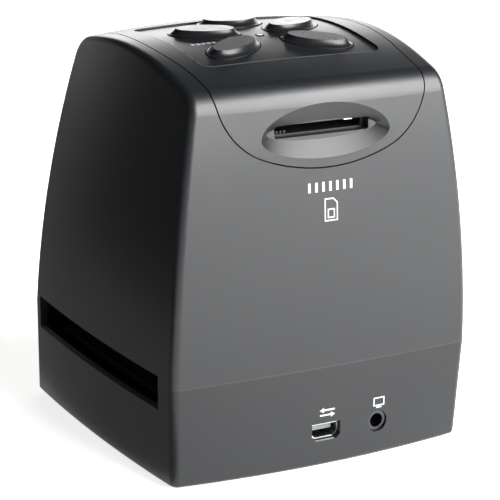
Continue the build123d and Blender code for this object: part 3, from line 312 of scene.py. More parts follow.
@dataclass(frozen=True)
class FlatCable:
    """Amber polyimide film over copper strips: even stripes along the cable, with a smooth sheen."""

    name: str = "polyimide_flat_cable"
    film: str = "#A5672A"
    copper: str = "#C98A4E"
    pitch: float = 1.0
    strip_edge: tuple[float, float] = (0.35, 0.5)
    strip_height: float = 0.02
    roughness: float = 0.3

    def build(self) -> bpy.types.Material:
        """Build the material."""
        material, tree, shader = blank(self.name)
        place = add(tree, "ShaderNodeTexCoord").outputs["Object"]
        # At a scale of one, the bands of a wave texture are pi / 10 apart.
        inputs = {"Vector": place, "Scale": per_mm(self.pitch) * math.pi / 10}
        stripes = add(tree, "ShaderNodeTexWave", inputs, bands_direction="X").outputs["Fac"]
        low, high = self.strip_edge
        edges = add(tree, "ShaderNodeMapRange", {"Value": stripes, "From Min": low, "From Max": high})
        inputs = {"Factor": edges, "A": linear(self.film), "B": linear(self.copper)}
        shade = add(tree, "ShaderNodeMix", inputs, data_type="RGBA")
        inputs = {"Height": edges, "Strength": 0.5, "Distance": self.strip_height * MM}
        bump = add(tree, "ShaderNodeBump", inputs)
        feed(tree, shader, {"Base Color": shade, "Normal": bump, "Roughness": self.roughness})
        return material


@dataclass(frozen=True)
class Glass:
    """Optical glass or clear acrylic.

    It is polished, with a faint tint and a little haze that breaks its highlight.
    """

    name: str
    colour: str
    ior: float
    roughness: float = 0.02
    alpha: float = 0.35
    haze: float = 4.0
    haze_roughness: float = 0.06

    def build(self) -> bpy.types.Material:
        """Build the material."""
        material, tree, shader = blank(self.name)
        place = add(tree, "ShaderNodeTexCoord").outputs["Object"]
        inputs = {"Vector": place, "Scale": per_mm(self.haze), "Detail": 3.0}
        haze = add(tree, "ShaderNodeTexNoise", inputs)
        low, high = self.roughness, self.roughness + self.haze_roughness
        gloss = add(tree, "ShaderNodeMapRange", {"Value": haze, "To Min": low, "To Max": high})
        feed(tree, shader, {
            "Roughness": gloss, "Base Color": linear(self.colour), "IOR": self.ior, "Alpha": self.alpha,
        })
        return material


Finish = MouldedPlastic | Metal | Glass | CircuitBoard | FlatCable
CASE_ABS = MouldedPlastic(
    "spark_eroded_abs", "#131416", 0.35, 0.16, 0.006, mottle=24.0, spread=0.02, gloss=0.35
)
# A darker, less glossy copy of the case plastic for the base shell: painted shade on the lower part, with a
# painted sheen line along its top rim.
SHADED_BASE_ABS = MouldedPlastic(
    "shaded_spark_eroded_base_abs", "#111214", 0.36, 0.16, 0.006, mottle=24.0, spread=0.02, gloss=0.31,
    sheen_line_height=25.8,
)
# A lighter, glossier copy of the case plastic, laid as a thin line on the sunk panel's edges: a painted
# highlight.
EDGE_HIGHLIGHT_ABS = MouldedPlastic("painted_edge_highlight_abs", "#3A3B3D", 0.30, 0.16, 0.004, gloss=0.6)
KEY_ABS = MouldedPlastic(
    "satin_moulded_abs", "#121315", 0.30, 0.12, 0.003, mottle=4.0, spread=0.04, gloss=0.28
)
INNER_PS = MouldedPlastic("black_polystyrene", "#141516", 0.55, 0.30, 0.010, ior=1.59)
WHITE_POM = MouldedPlastic("white_acetal", "#E4E3DC", 0.38, 0.25, 0.004, ior=1.48)
SOCKET_PA = MouldedPlastic("grey_polyamide", "#606264", 0.45, 0.20, 0.005)
BLACK_PA = MouldedPlastic("black_polyamide", "#101112", 0.40, 0.20, 0.005)
FOOT_RUBBER = MouldedPlastic("moulded_rubber", "#17181A", 0.80, 0.35, 0.020, ior=1.50)
CHIP_EPOXY = MouldedPlastic("moulded_epoxy", "#202224", 0.60, 0.10, 0.006)
PRINT_INK = MouldedPlastic("pad_printing_ink", "#9C9EA0", 0.60, 0.15, 0.004, ior=1.50)
ZINC_STEEL = Metal("zinc_plated_steel", "#9A9C9F", 0.34)
NICKEL_STEEL = Metal("nickel_plated_steel", "#C8CACC", 0.22)
BLACK_NICKEL = Metal("black_nickel_brass", "#46484B", 0.34)
SPRING_STEEL = Metal("drawn_spring_steel", "#A6A8AB", 0.30, line=0.05)
CONTACT_GOLD = Metal("gold_plated_bronze", "#D9B45A", 0.24)
TIN = Metal("tinned_copper", "#C4C6C8", 0.30)
PANE = Glass("clear_acrylic", "#0F1113", 1.49, alpha=0.55)
SMOKED_PIPE = Glass("moulded_smoked_acrylic", "#16181A", 1.49, alpha=0.9)
LED_RESIN = Glass("clear_epoxy_resin", "#CFE3D2", 1.50, alpha=0.6)
LENS = Glass("coated_optical_glass", "#DDE8EE", 1.62)
BLUE_FILTER = Glass("infrared_cut_glass", "#9FC9D4", 1.52, alpha=0.5)
LCD_FACE = MouldedPlastic("lcd_polariser_film", "#0B0D12", 0.16, 0.19, 0.001, mottle=15.0, spread=0.02)
CIRCUIT = CircuitBoard()
CABLE = FlatCable()
FINISHES = (
    CASE_ABS, SHADED_BASE_ABS, EDGE_HIGHLIGHT_ABS, KEY_ABS, INNER_PS, WHITE_POM, SOCKET_PA, BLACK_PA, FOOT_RUBBER,
    CHIP_EPOXY, PRINT_INK, ZINC_STEEL, NICKEL_STEEL, BLACK_NICKEL, SPRING_STEEL, CONTACT_GOLD, TIN,
    PANE, SMOKED_PIPE, LED_RESIN, LENS, BLUE_FILTER, LCD_FACE, CIRCUIT, CABLE,
)


# ---------------------------------------------------------------- places on the frame
class Skin:
    """The surface of CAD nodes, on which flat marks are laid."""

    def __init__(self, *nodes: str) -> None:
        """Take the surfaces of some CAD nodes.

        Args:
            nodes: The names of the CAD nodes.
        """
        verts, faces = [], []
        for name in nodes:
            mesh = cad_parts[name].data
            start = len(verts)
            verts += [v.co.copy() for v in mesh.vertices]
            faces += [[start + i for i in p.vertices] for p in mesh.polygons]
        self.tree = BVHTree.FromPolygons(verts, faces)

    def lay(self, start: Vector, aim: Aim, lift: float) -> Vector:
        """Find where a ray meets the surface.

        Args:
            start: A point outside the surface, on the ray.
            aim: The way that the ray goes.
            lift: How far above the surface the answer lies, in metres.

        Returns:
            The point on the surface, lifted along the surface's normal.
        """
        hit, normal, _, _ = self.tree.ray_cast(start, Vector(aim.value))
        if hit is None:
            raise ValueError(f"nothing lies under {start}")
        return hit + normal * lift


def loose_boxes(node: str, weld_digits: int = 7, order_digits: int = 5) -> list[tuple[Vector, Vector]]:
    """Find the separate solids of a CAD node.

    Args:
        node: The CAD node's name.
        weld_digits: Points are one point where they agree to this many digits of a metre.
        order_digits: The digits of a metre by which the solids are put in order.

    Returns:
        The lowest and highest corner of each solid, in metres, ordered by place.
    """
    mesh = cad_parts[node].data
    keys: dict[tuple, int] = {}
    same = [keys.setdefault(tuple(round(c, weld_digits) for c in v.co), len(keys)) for v in mesh.vertices]
    parent = list(range(len(keys)))

    def root(i: int) -> int:
        """The group number of a point."""
        while parent[i] != i:
            parent[i] = parent[parent[i]]
            i = parent[i]
        return i

    for face in mesh.polygons:
        first = root(same[face.vertices[0]])
        for i in face.vertices[1:]:
            parent[root(same[i])] = first
    groups: dict[int, list[tuple]] = {}
    for point, i in keys.items():
        groups.setdefault(root(i), []).append(point)
    boxes = []
    for points in groups.values():
        spread = np.array(points)
        boxes.append((Vector(spread.min(0)), Vector(spread.max(0))))
    return sorted(boxes, key=lambda b: tuple(round(c, order_digits) for c in b[0]))


def over_middle(box: tuple[Vector, Vector], height: float) -> Vector:
    """The point at some height on the upright axis of a box."""
    low, high = box
    return Vector(((low.x + high.x) / 2, (low.y + high.y) / 2, height))


# ---------------------------------------------------------------- printed marks
@dataclass
class Mark:
    """A flat printed mark, drawn in millimetres across (X) and up (Z or Y), then laid on a surface."""

    name: str
    skin: Skin
    aim: Aim
    body: Body
    lift: float = 0.03 * MM
    far: float = 150 * MM
    thickness: float = 0.045 * MM
    least_mitre: float = 0.4

    def __post_init__(self) -> None:
        """Start with nothing drawn."""
        self.verts: list[Vector] = []
        self.faces: list[list[int]] = []

    def _set(self, points: list[Point]) -> list[int]:
        """Lay drawn points on the surface and return their numbers."""
        first = len(self.verts)
        for across, along in points:
            if self.aim is Aim.REAR:
                start = Vector((across * MM, self.far, along * MM))
            else:
                start = Vector((across * MM, along * MM, self.far))
            self.verts.append(self.skin.lay(start, self.aim, self.lift))
        return list(range(first, len(self.verts)))

    def fill(self, points: list[Point]) -> None:
        """Draw a filled shape from its corners."""
        self.faces.append(self._set(points))

    def line(self, points: list[Point], width: float, closed: bool = False) -> None:
        """Draw a line of some width with mitred corners.

        Args:
            points: The corners of its middle line.
            width: Its width in millimetres.
            closed: Whether it ends where it starts.
        """
        count = len(points)
        left, right = [], []
        for i, point in enumerate(points):
            before = Vector(points[i - 1 if closed or i else 0])
            after = Vector(points[(i + 1) % count if closed or i + 1 < count else i])
            here = Vector(point)
            way_in = (here - before).normalized() if here != before else (after - here).normalized()
            way_out = (after - here).normalized() if here != after else way_in
            side = Vector((-way_in.y - way_out.y, way_in.x + way_out.x)).normalized()
            reach = width / 2 / max(self.least_mitre, side.dot(Vector((-way_in.y, way_in.x))))
            left.append(tuple(here + side * reach))
            right.append(tuple(here - side * reach))
        left, right = self._set(left), self._set(right)
        for i in range(count if closed else count - 1):
            j = (i + 1) % count
            self.faces.append([left[i], left[j], right[j], right[i]])

    def build(self, material: bpy.types.Material) -> bpy.types.Object:
        """Make the mark's mesh, facing outwards.

        Args:
            material: Its ink.

        Returns:
            The piece.
        """
        out = -Vector(self.aim.value)
        faces = []
        for face in self.faces:
            a, b, c = (self.verts[i] for i in face[:3])
            faces.append(face if (b - a).cross(c - b).dot(out) > 0 else face[::-1])
        piece = put(self.name, self.verts, faces, material, self.body)
        skin = piece.modifiers.new("thickness", "SOLIDIFY")
        skin.thickness = self.thickness
        skin.offset = -1.0
        return piece


def box_points(x: float, y: float, width: float, height: float) -> list[Point]:
    """The corners of a rectangle given by its middle."""
    w, h = width / 2, height / 2
    return [(x - w, y - h), (x + w, y - h), (x + w, y + h), (x - w, y + h)]


def shifted(points: list[Point], x: float, y: float, turn: float = 0.0) -> list[Point]:
    """Points turned by some degrees about the origin and then moved."""
    c, s = math.cos(math.radians(turn)), math.sin(math.radians(turn))
    return [(x + px * c - py * s, y + px * s + py * c) for px, py in points]


@dataclass
class RearMarks:
    """The generic pictograms on the rear: a row of contact bars, a memory card, two arrows and a screen."""

    foot: float = 0.8
    line_w: float = 0.32
    bar_count: int = 7
    bar_pitch: float = 1.95
    bar_x: float = -0.45
    bar_h: float = 69.2
    bar_w: float = 0.7
    bar_l: float = 2.3
    card_x: float = -0.6
    card_h: float = 63.6
    card_w: float = 3.4
    card_l: float = 5.2
    card_cut: float = 1.1
    label_drop: float = 0.35
    label_l: float = 0.75
    arrows_x: float = -0.2
    arrow_rise: float = 0.62
    stem_back: float = 0.5
    stem_l: float = 3.2
    stem_w: float = 0.42
    tip_x: tuple[float, float] = (1.0, 2.2)
    tip_half_w: float = 0.65
    screen_x: float = -15.4
    screen_w: float = 3.0
    screen_l: float = 1.9
    screen_rise: float = 0.2
    stand_w: float = 1.6
    stand_drop: float = 1.25
    low_h: float = 13.4

    def build(self, ink: bpy.types.Material) -> None:
        """Draw and lay the marks.

        Args:
            ink: The finish of the print.
        """
        skin = Skin("upper_shell", "base_shell")
        bars = Mark("contact_bars_mark", skin, Aim.REAR, Body.CASE)
        for i in range(self.bar_count):
            x = self.bar_x + (i - (self.bar_count - 1) / 2) * self.bar_pitch
            bars.fill(box_points(x, self.bar_h + self.foot, self.bar_w, self.bar_l))
        bars.build(ink)

        card = Mark("memory_card_mark", skin, Aim.REAR, Body.CASE)
        w, l, cut = self.card_w / 2, self.card_l / 2, self.card_cut
        outline = [(w, -l), (w, l), (-w + cut, l), (-w, l - cut), (-w, -l)]
        label = box_points(0, -l * self.label_drop, w, l * self.label_l)
        for points in (outline, label):
            card.line(shifted(points, self.card_x, self.card_h + self.foot), self.line_w, closed=True)
        card.build(ink)

        mid = self.low_h + self.foot
        arrows = Mark("two_way_mark", skin, Aim.REAR, Body.CASE)
        for way in (1, -1):
            x, z = self.arrows_x, mid + way * self.arrow_rise
            arrows.fill(box_points(x - way * self.stem_back, z, self.stem_l, self.stem_w))
            root, tip = (x + way * reach for reach in self.tip_x)
            arrows.fill([(root, z - self.tip_half_w), (tip, z), (root, z + self.tip_half_w)])
        arrows.build(ink)

        screen = Mark("screen_mark", skin, Aim.REAR, Body.CASE)
        frame_points = box_points(self.screen_x, mid + self.screen_rise, self.screen_w, self.screen_l)
        screen.line(frame_points, self.line_w, closed=True)
        screen.fill(box_points(self.screen_x, mid - self.stand_drop, self.stand_w, self.line_w))
        screen.build(ink)


@dataclass
class KeyMarks:
    """The printed arrows on two keys, the row of ticks beside another, and a painted highlight along the sunk
    panel's edge.
    """

    arrow_l: float = 1.5
    arrow_w: float = 2.3
    edge_x: float = 25.45
    edge_y: tuple[float, float] = (-8.0, 17.45)
    edge_r: float = 3.2
    edge_w: float = 0.35
    side_steps: int = 8
    corner_steps: int = 6
    rear_steps: int = 12
    tick_count: int = 5
    tick_pitch: float = 1.45
    tick_w: float = 0.9
    tick_l: float = 1.1
    tick_in: float = 1.0
    tick_up: float = 1.1

    def arrow(self, turn: float) -> list[Point]:
        """An arrow head about the origin that points along +Y, turned by some degrees."""
        l, w = self.arrow_l / 2, self.arrow_w / 2
        return shifted([(-w, -l), (w, -l), (0, l)], 0, 0, turn)

    def edge_path(self) -> list[Point]:
        """The painted edge highlight's path: along the panel's +X side, round its corner and along its rear.
        """
        x, (front, rear), r = self.edge_x, self.edge_y, self.edge_r
        straight = rear - r - front
        path = [(x, front + straight * i / self.side_steps) for i in range(self.side_steps + 1)]
        for i in range(1, self.corner_steps + 1):
            a = math.pi / 2 * i / self.corner_steps
            path.append((x - r + r * math.cos(a), rear - r + r * math.sin(a)))
        for i in range(1, self.rear_steps + 1):
            path.append(((x - r) * (1 - 2 * i / self.rear_steps), rear))
        return path

    def build(self, ink: bpy.types.Material, edge_highlight: bpy.types.Material) -> None:
        """Draw and lay the marks and the painted edge highlight.

        Args:
            ink: The finish of the print.
            edge_highlight: The finish of the edge line, a painted highlight.
        """
        # The edge line is a painted highlight along the sunk panel's near and +X edges.
        edge = Mark("panel_edge_painted_highlight", Skin("top_cover"), Aim.TOP, Body.CASE)
        edge.line(self.edge_path(), self.edge_w)
        edge.build(edge_highlight)
        plan = (
            (Body.KEY_RIGHT, "button_right", 180.0),
            (Body.KEY_LEFT, "button_left", 0.0),
        )
        for body, node, turn in plan:
            low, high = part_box(node)
            mid = (low + high) / (2 * MM)
            mark = Mark(node + "_mark", Skin(node), Aim.TOP, body)
            mark.fill(shifted(self.arrow(turn), mid.x, mid.y))
            mark.build(ink)

        low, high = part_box("button_rear_right")
        panel = Mark("panel_tick_mark", Skin("top_cover"), Aim.TOP, Body.CASE)
        y = low.y / MM + self.tick_up
        for i in range(self.tick_count):
            x = high.x / MM - self.tick_in - i * self.tick_pitch
            panel.fill(box_points(x, y, self.tick_w, self.tick_l))
        panel.build(ink)


# ---------------------------------------------------------------- repeated hardware
class Recipe:
    """A geometry node tree with named sizes. It sets one shape on each of some points."""

    def __init__(self, name: str, lengths: tuple[str, ...] = (), vectors: tuple[str, ...] = ()) -> None:
        """Start a tree.

        Args:
            name: The tree's name.
            lengths: The names of its inputs that are numbers, mostly metres.
            vectors: The names of its inputs that are sizes or places along X, Y and Z.
        """
        self.tree = bpy.data.node_groups.new(name, "GeometryNodeTree")
        kinds = {"Points": "Geometry", "Turn": "Vector", "Finish": "Material"}
        kinds |= dict.fromkeys(lengths, "Float") | dict.fromkeys(vectors, "Vector")
        for socket, kind in kinds.items():
            self.tree.interface.new_socket(socket, in_out="INPUT", socket_type="NodeSocket" + kind)
        self.tree.interface.new_socket("Pieces", in_out="OUTPUT", socket_type="NodeSocketGeometry")
        self.given = self.add("NodeGroupInput").outputs

    def add(self, kind: str, inputs: dict | None = None, **settings: object) -> bpy.types.Node:
        """Add a node to this tree."""
        return add(self.tree, kind, inputs, **settings)

    def end(self, shape: bpy.types.Node, points: bpy.types.Node | None = None) -> None:
        """Set the shape on the points, as plain mesh with its finish.

        Args:
            shape: What is set on each point.
            points: The points, if they aren't those given to the tree.
        """
        turn = self.add("FunctionNodeEulerToRotation", {"Euler": self.given["Turn"]})
        turned = self.add("GeometryNodeTransform", {"Geometry": shape, "Rotation": turn})
        inputs = {"Points": points or self.given["Points"], "Instance": turned}
        copies = self.add("GeometryNodeInstanceOnPoints", inputs)
        solid = self.add("GeometryNodeRealizeInstances", {"Geometry": copies})
        inputs = {"Geometry": solid, "Material": self.given["Finish"]}
        self.add("NodeGroupOutput", {"Pieces": self.add("GeometryNodeSetMaterial", inputs)})

    def run(
        self,
        name: str,
        points: list[Vector],
        material: bpy.types.Material,
        slot: str,
        turn: tuple[float, float, float] = (0.0, 0.0, 0.0),
        **sizes: float | tuple[float, float, float],
    ) -> bpy.types.Object:
        """Run the tree and keep its result as a plain mesh on the case.

        Args:
            name: The piece's name.
            points: Where a copy is set.
            material: The finish.
            slot: The record's name of the material. It is not used.
            turn: The common turn of the copies, as Euler angles.
            sizes: The tree's other inputs, with underscores for spaces.

        Returns:
            The piece.
        """
        mesh = bpy.data.meshes.new(name)
        mesh.from_pydata([tuple(p) for p in points], [], [])
        piece = placed(name, mesh)
        recipe = piece.modifiers.new("recipe", "NODES")
        recipe.node_group = self.tree
        values = {"Turn": turn, "Finish": material}
        values |= {size.replace("_", " ").capitalize(): value for size, value in sizes.items()}
        for item in self.tree.interface.items_tree:
            if item.in_out == "INPUT" and item.name in values:
                recipe[item.identifier] = values[item.name]
        graph = bpy.context.evaluated_depsgraph_get()
        made = bpy.data.meshes.new_from_object(piece.evaluated_get(graph), depsgraph=graph)
        piece.modifiers.clear()
        piece.data = made
        made.name = name
        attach(piece, Body.CASE.value)
        LOG.info("%s: %d faces on %s", name, len(made.polygons), Body.CASE.value)
        return piece


def screw_recipe() -> Recipe:
    """A cross-head screw: its seat is at the point, its head below and its threaded shank above."""
    r = Recipe(
        "cross_head_screw",
        lengths=(
            "Head radius", "Face radius", "Head height", "Core radius", "Shank length", "Thread radius",
            "Thread length", "Thread turns", "Ridge radius",
        ),
        vectors=("Head place", "Long arm", "Cross arm", "Core place", "Thread place"),
    )
    cone = r.add(
        "GeometryNodeMeshCone",
        {
            "Vertices": 28, "Radius Top": r.given["Head radius"], "Radius Bottom": r.given["Face radius"],
            "Depth": r.given["Head height"],
        },
    )
    blocks = [r.add("GeometryNodeMeshCube", {"Size": r.given[arm]}) for arm in ("Long arm", "Cross arm")]
    head, *arms = (
        r.add("GeometryNodeTransform", {"Geometry": shape, "Translation": r.given["Head place"]})
        for shape in (cone, *blocks)
    )
    cut = r.add("GeometryNodeMeshBoolean", {"Mesh 1": head, "Mesh 2": arms}, operation="DIFFERENCE")
    core = r.add(
        "GeometryNodeMeshCylinder",
        {"Vertices": 16, "Radius": r.given["Core radius"], "Depth": r.given["Shank length"]},
    )
    core = r.add("GeometryNodeTransform", {"Geometry": core, "Translation": r.given["Core place"]})
    helix = r.add(
        "GeometryNodeCurveSpiral",
        {
            "Resolution": 12, "Rotations": r.given["Thread turns"], "Start Radius": r.given["Thread radius"],
            "End Radius": r.given["Thread radius"], "Height": r.given["Thread length"],
        },
    )
    ridge = r.add("GeometryNodeCurvePrimitiveCircle", {"Resolution": 4, "Radius": r.given["Ridge radius"]})
    thread = r.add("GeometryNodeCurveToMesh", {"Curve": helix, "Profile Curve": ridge, "Fill Caps": True})
    thread = r.add("GeometryNodeTransform", {"Geometry": thread, "Translation": r.given["Thread place"]})
    r.end(r.add("GeometryNodeJoinGeometry", {"Geometry": [cut, core, thread]}))
    return r


def coil_recipe() -> Recipe:
    """A coil spring of round wire that stands on the point."""
    r = Recipe("coil_spring", lengths=("Coil radius", "Wire radius", "Height", "Turns"))
    helix = r.add(
        "GeometryNodeCurveSpiral",
        {
            "Resolution": 24, "Rotations": r.given["Turns"], "Start Radius": r.given["Coil radius"],
            "End Radius": r.given["Coil radius"], "Height": r.given["Height"],
        },
    )
    wire = r.add("GeometryNodeCurvePrimitiveCircle", {"Resolution": 8, "Radius": r.given["Wire radius"]})
    r.end(r.add("GeometryNodeCurveToMesh", {"Curve": helix, "Profile Curve": wire, "Fill Caps": True}))
    return r


def block_recipe() -> Recipe:
    """A small block centred on the point, such as a chip's leg or a contact strip."""
    r = Recipe("small_block", vectors=("Size",))
    r.end(r.add("GeometryNodeMeshCube", {"Size": r.given["Size"]}))
    return r


def dome_recipe() -> Recipe:
    """A round dome of clear resin, centred on the point and flattened by its stretch."""
    r = Recipe("resin_dome", lengths=("Radius",), vectors=("Stretch",))
    ball = r.add("GeometryNodeMeshUVSphere", {"Segments": 24, "Rings": 12, "Radius": r.given["Radius"]})
    r.end(r.add("GeometryNodeTransform", {"Geometry": ball, "Scale": r.given["Stretch"]}))
    return r


def finger_recipe() -> Recipe:
    """A bent contact spring: a strip along a bow from its start to its end, pulled to its middle."""
    r = Recipe("contact_finger", lengths=("Width", "Thickness"), vectors=("Start", "Middle", "End"))
    inputs = {"Resolution": 10} | {place: r.given[place] for place in ("Start", "Middle", "End")}
    arch = r.add("GeometryNodeCurveQuadraticBezier", inputs)
    inputs = {"Width": r.given["Width"], "Height": r.given["Thickness"]}
    strip = r.add("GeometryNodeCurvePrimitiveQuadrilateral", inputs)
    r.end(r.add("GeometryNodeCurveToMesh", {"Curve": arch, "Profile Curve": strip, "Fill Caps": True}))
    return r


def scatter_recipe(seed: int = 11) -> Recipe:
    """Small board parts with tinned ends on some of the points, at a fixed seed.

    Args:
        seed: The seed of the choice.

    Returns:
        The recipe.
    """
    r = Recipe(
        "board_parts", lengths=("Share left out",), vectors=("Part size", "Cap size", "Left cap", "Right cap")
    )
    part = r.add("GeometryNodeMeshCube", {"Size": r.given["Part size"]})
    cap = r.add("GeometryNodeMeshCube", {"Size": r.given["Cap size"]})
    caps = [
        r.add("GeometryNodeTransform", {"Geometry": cap, "Translation": r.given[place]})
        for place in ("Left cap", "Right cap")
    ]
    inputs = {"Probability": r.given["Share left out"], "Seed": seed}
    dropped = r.add("FunctionNodeRandomValue", inputs, data_type="BOOLEAN")
    inputs = {"Geometry": r.given["Points"], "Selection": dropped}
    left = r.add("GeometryNodeDeleteGeometry", inputs, domain="POINT")
    r.end(r.add("GeometryNodeJoinGeometry", {"Geometry": [part, *caps]}), points=left)
    return r


class Drive(Enum):
    """The side from which a screw is driven, as its turn about X."""

    BELOW = 0.0
    ABOVE = math.pi
    REAR = math.pi / 2


@dataclass
class Screws:
    """Cross-head screws in place of the plain ones of the CAD. The shares are of the head or shank."""

    thread_pitch: float = 0.6 * MM
    thick_pitch: float = 0.8 * MM
    head_h: float = 1.1 * MM
    thick_head_h: float = 1.6 * MM
    shank_share: float = 0.5
    thick_shank_share: float = 0.45
    face_share: float = 0.82
    arm_l_share: float = 1.25
    arm_w_share: float = 0.3
    arm_h_share: float = 1.1
    core_share: float = 0.84
    thread_share: float = 0.88
    ridge_share: float = 0.1
    threaded_share: float = 0.9

    def build(self, steel: bpy.types.Material) -> None:
        """Set a screw on each plain one.

        Args:
            steel: The finish of the screws.
        """
        recipe = screw_recipe()
        thick = (self.thick_head_h, self.thick_pitch, self.thick_shank_share)
        thin = (self.head_h, self.thread_pitch, self.shank_share)
        plan = (
            ("base_screws", Drive.BELOW, thick),
            ("keypad_screws", Drive.BELOW, thin),
            ("card_screws", Drive.BELOW, thin),
            ("io_screws", Drive.ABOVE, thin),
            ("main_screws", Drive.REAR, thin),
        )
        for node, drive, (head, pitch, share) in plan:
            boxes = loose_boxes(node)
            seats = []
            for low, high in boxes:
                seat = (low + high) / 2
                if drive is Drive.REAR:
                    seat.y = high.y - head
                else:
                    seat.z = high.z - head if drive is Drive.ABOVE else low.z + head
                seats.append(seat)
            span = boxes[-1][1] - boxes[-1][0]
            radius, length = span.x / 2, (span.y if drive is Drive.REAR else span.z) - head
            shank, threaded = radius * share, length * self.threaded_share
            arm_l, arm_w = radius * self.arm_l_share, radius * self.arm_w_share
            arm_h = head * self.arm_h_share
            piece = recipe.run(
                node + "_cross_head", seats, steel, "steel", turn=(drive.value, 0.0, 0.0),
                head_radius=radius, face_radius=radius * self.face_share, head_height=head,
                head_place=(0.0, 0.0, -head), long_arm=(arm_l, arm_w, arm_h),
                cross_arm=(arm_w, arm_l, arm_h), core_radius=shank * self.core_share,
                shank_length=length, core_place=(0.0, 0.0, length / 2),
                thread_radius=shank * self.thread_share, thread_length=threaded,
                thread_turns=threaded / pitch, ridge_radius=shank * self.ridge_share,
                thread_place=(0.0, 0.0, (length - threaded) / 2),
            )
            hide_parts(node)


@dataclass
class Detent:
    """The coil spring under the film detent."""

    turns: float = 5.5
    wire: float = 0.22 * MM
    travel: float = 0.8 * MM

    def build(self, steel: bpy.types.Material) -> None:
        """Make the spring and give it a mesh of its own.

        Args:
            steel: The finish of the wire.
        """
        low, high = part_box("detent_spring")
        height, radius = high.z - low.z, (high.x - low.x) / 2 - self.wire
        piece = coil_recipe().run(
            "detent_coil", [over_middle((low, high), low.z + self.wire)], steel, "steel",
            coil_radius=radius, wire_radius=self.wire, height=height - 2 * self.wire, turns=self.turns,
        )
        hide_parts("detent_spring")
        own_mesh(piece)


@dataclass
class Boards:
    """What the boards carry: chip legs, small parts, and clear domes on the lamps."""

    leg_pitch: float = 1.27 * MM
    leg_w: float = 0.45 * MM
    leg_l: float = 0.9 * MM
    leg_t: float = 0.2 * MM
    part_pitch: float = 2.6 * MM
    part_l: float = 1.6 * MM
    part_w: float = 0.8 * MM
    part_h: float = 0.45 * MM
    cap_share: float = 0.22
    cap_swell: float = 1.08
    cap_place: float = 0.42
    left_out: float = 0.45
    margin: float = 1.6 * MM
    dome_r: float = 1.0 * MM
    dome_h: float = 0.5 * MM

    def build(self, finish: dict[Finish, bpy.types.Material]) -> None:
        """Build what the boards carry.

        Args:
            finish: The built material of each finish.
        """
        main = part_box("main_board")
        legs = []
        for low, high in loose_boxes("board_chips"):
            count = max(2, int((high.z - low.z - self.leg_w) / self.leg_pitch))
            for i in range(count):
                z = (low.z + high.z) / 2 + (i - (count - 1) / 2) * self.leg_pitch
                for x in (low.x - self.leg_l / 3, high.x + self.leg_l / 3):
                    legs.append(Vector((x, main[1].y + self.leg_t, z)))
        size = (self.leg_l, self.leg_t * 2, self.leg_w)
        block_recipe().run("chip_legs", legs, finish[TIN], "plated_steel", size=size)

        recipe = scatter_recipe()
        cap_x = self.part_l * self.cap_place
        for board, side, axis in (
            ("main_board", 1, 1), ("keypad_board", -1, 2), ("io_board", 1, 2),
            ("card_board", -1, 2), ("sensor_board", 1, 2),
        ):
            recipe.run(
                board + "_parts", self._free_spots(board, side, axis), finish[TIN], "plated_steel",
                turn=(math.pi / 2 if axis == 1 else 0.0, 0.0, 0.0),
                part_size=(self.part_l, self.part_w, self.part_h),
                cap_size=(
                    self.part_l * self.cap_share, self.part_w * self.cap_swell, self.part_h * self.cap_swell
                ),
                left_cap=(-cap_x, 0.0, 0.0), right_cap=(cap_x, 0.0, 0.0), share_left_out=self.left_out,
            )

        lamps = [over_middle(box, box[1].z) for box in loose_boxes("backlight_leds")]
        dome_recipe().run(
            "lamp_domes", lamps, finish[LED_RESIN], "clear_plastic", radius=self.dome_r,
            stretch=(1.0, 1.0, self.dome_h / self.dome_r),
        )

    def _free_spots(self, board: str, side: int, axis: int) -> list[Vector]:
        """Find places on one side of a board where nothing else stands.

        Args:
            board: The board's node.
            side: 1 for the side that faces along the axis, -1 for the other.
            axis: The axis across the board: 1 for Y, 2 for Z.

        Returns:
            The places, half a part's height off the board's face.
        """
        low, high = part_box(board)
        plane = high[axis] + self.part_h / 2 if side > 0 else low[axis] - self.part_h / 2
        others = [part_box(n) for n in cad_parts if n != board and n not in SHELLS]
        near = [
            b for b in others if b[0][axis] < plane + self.part_h and b[1][axis] > plane - self.part_h
        ]
        u, v = [i for i in range(3) if i != axis]
        steps_u, steps_v = (int((high[w] - low[w] - 2 * self.margin) / self.part_pitch) for w in (u, v))
        spots = []
        for i in range(steps_u + 1):
            for j in range(steps_v + 1):
                spot = Vector((0.0, 0.0, 0.0))
                spot[u] = low[u] + self.margin + i * self.part_pitch
                spot[v] = low[v] + self.margin + j * self.part_pitch
                spot[axis] = plane
                if not any(self._covers(b, spot, (u, v)) for b in near):
                    spots.append(spot)
        return spots

    def _covers(self, box: tuple[Vector, Vector], spot: Vector, axes: tuple[int, int]) -> bool:
        """Whether a box, with the margin round it, covers a place in plan."""
        return all(box[0][w] - self.margin < spot[w] < box[1][w] + self.margin for w in axes)


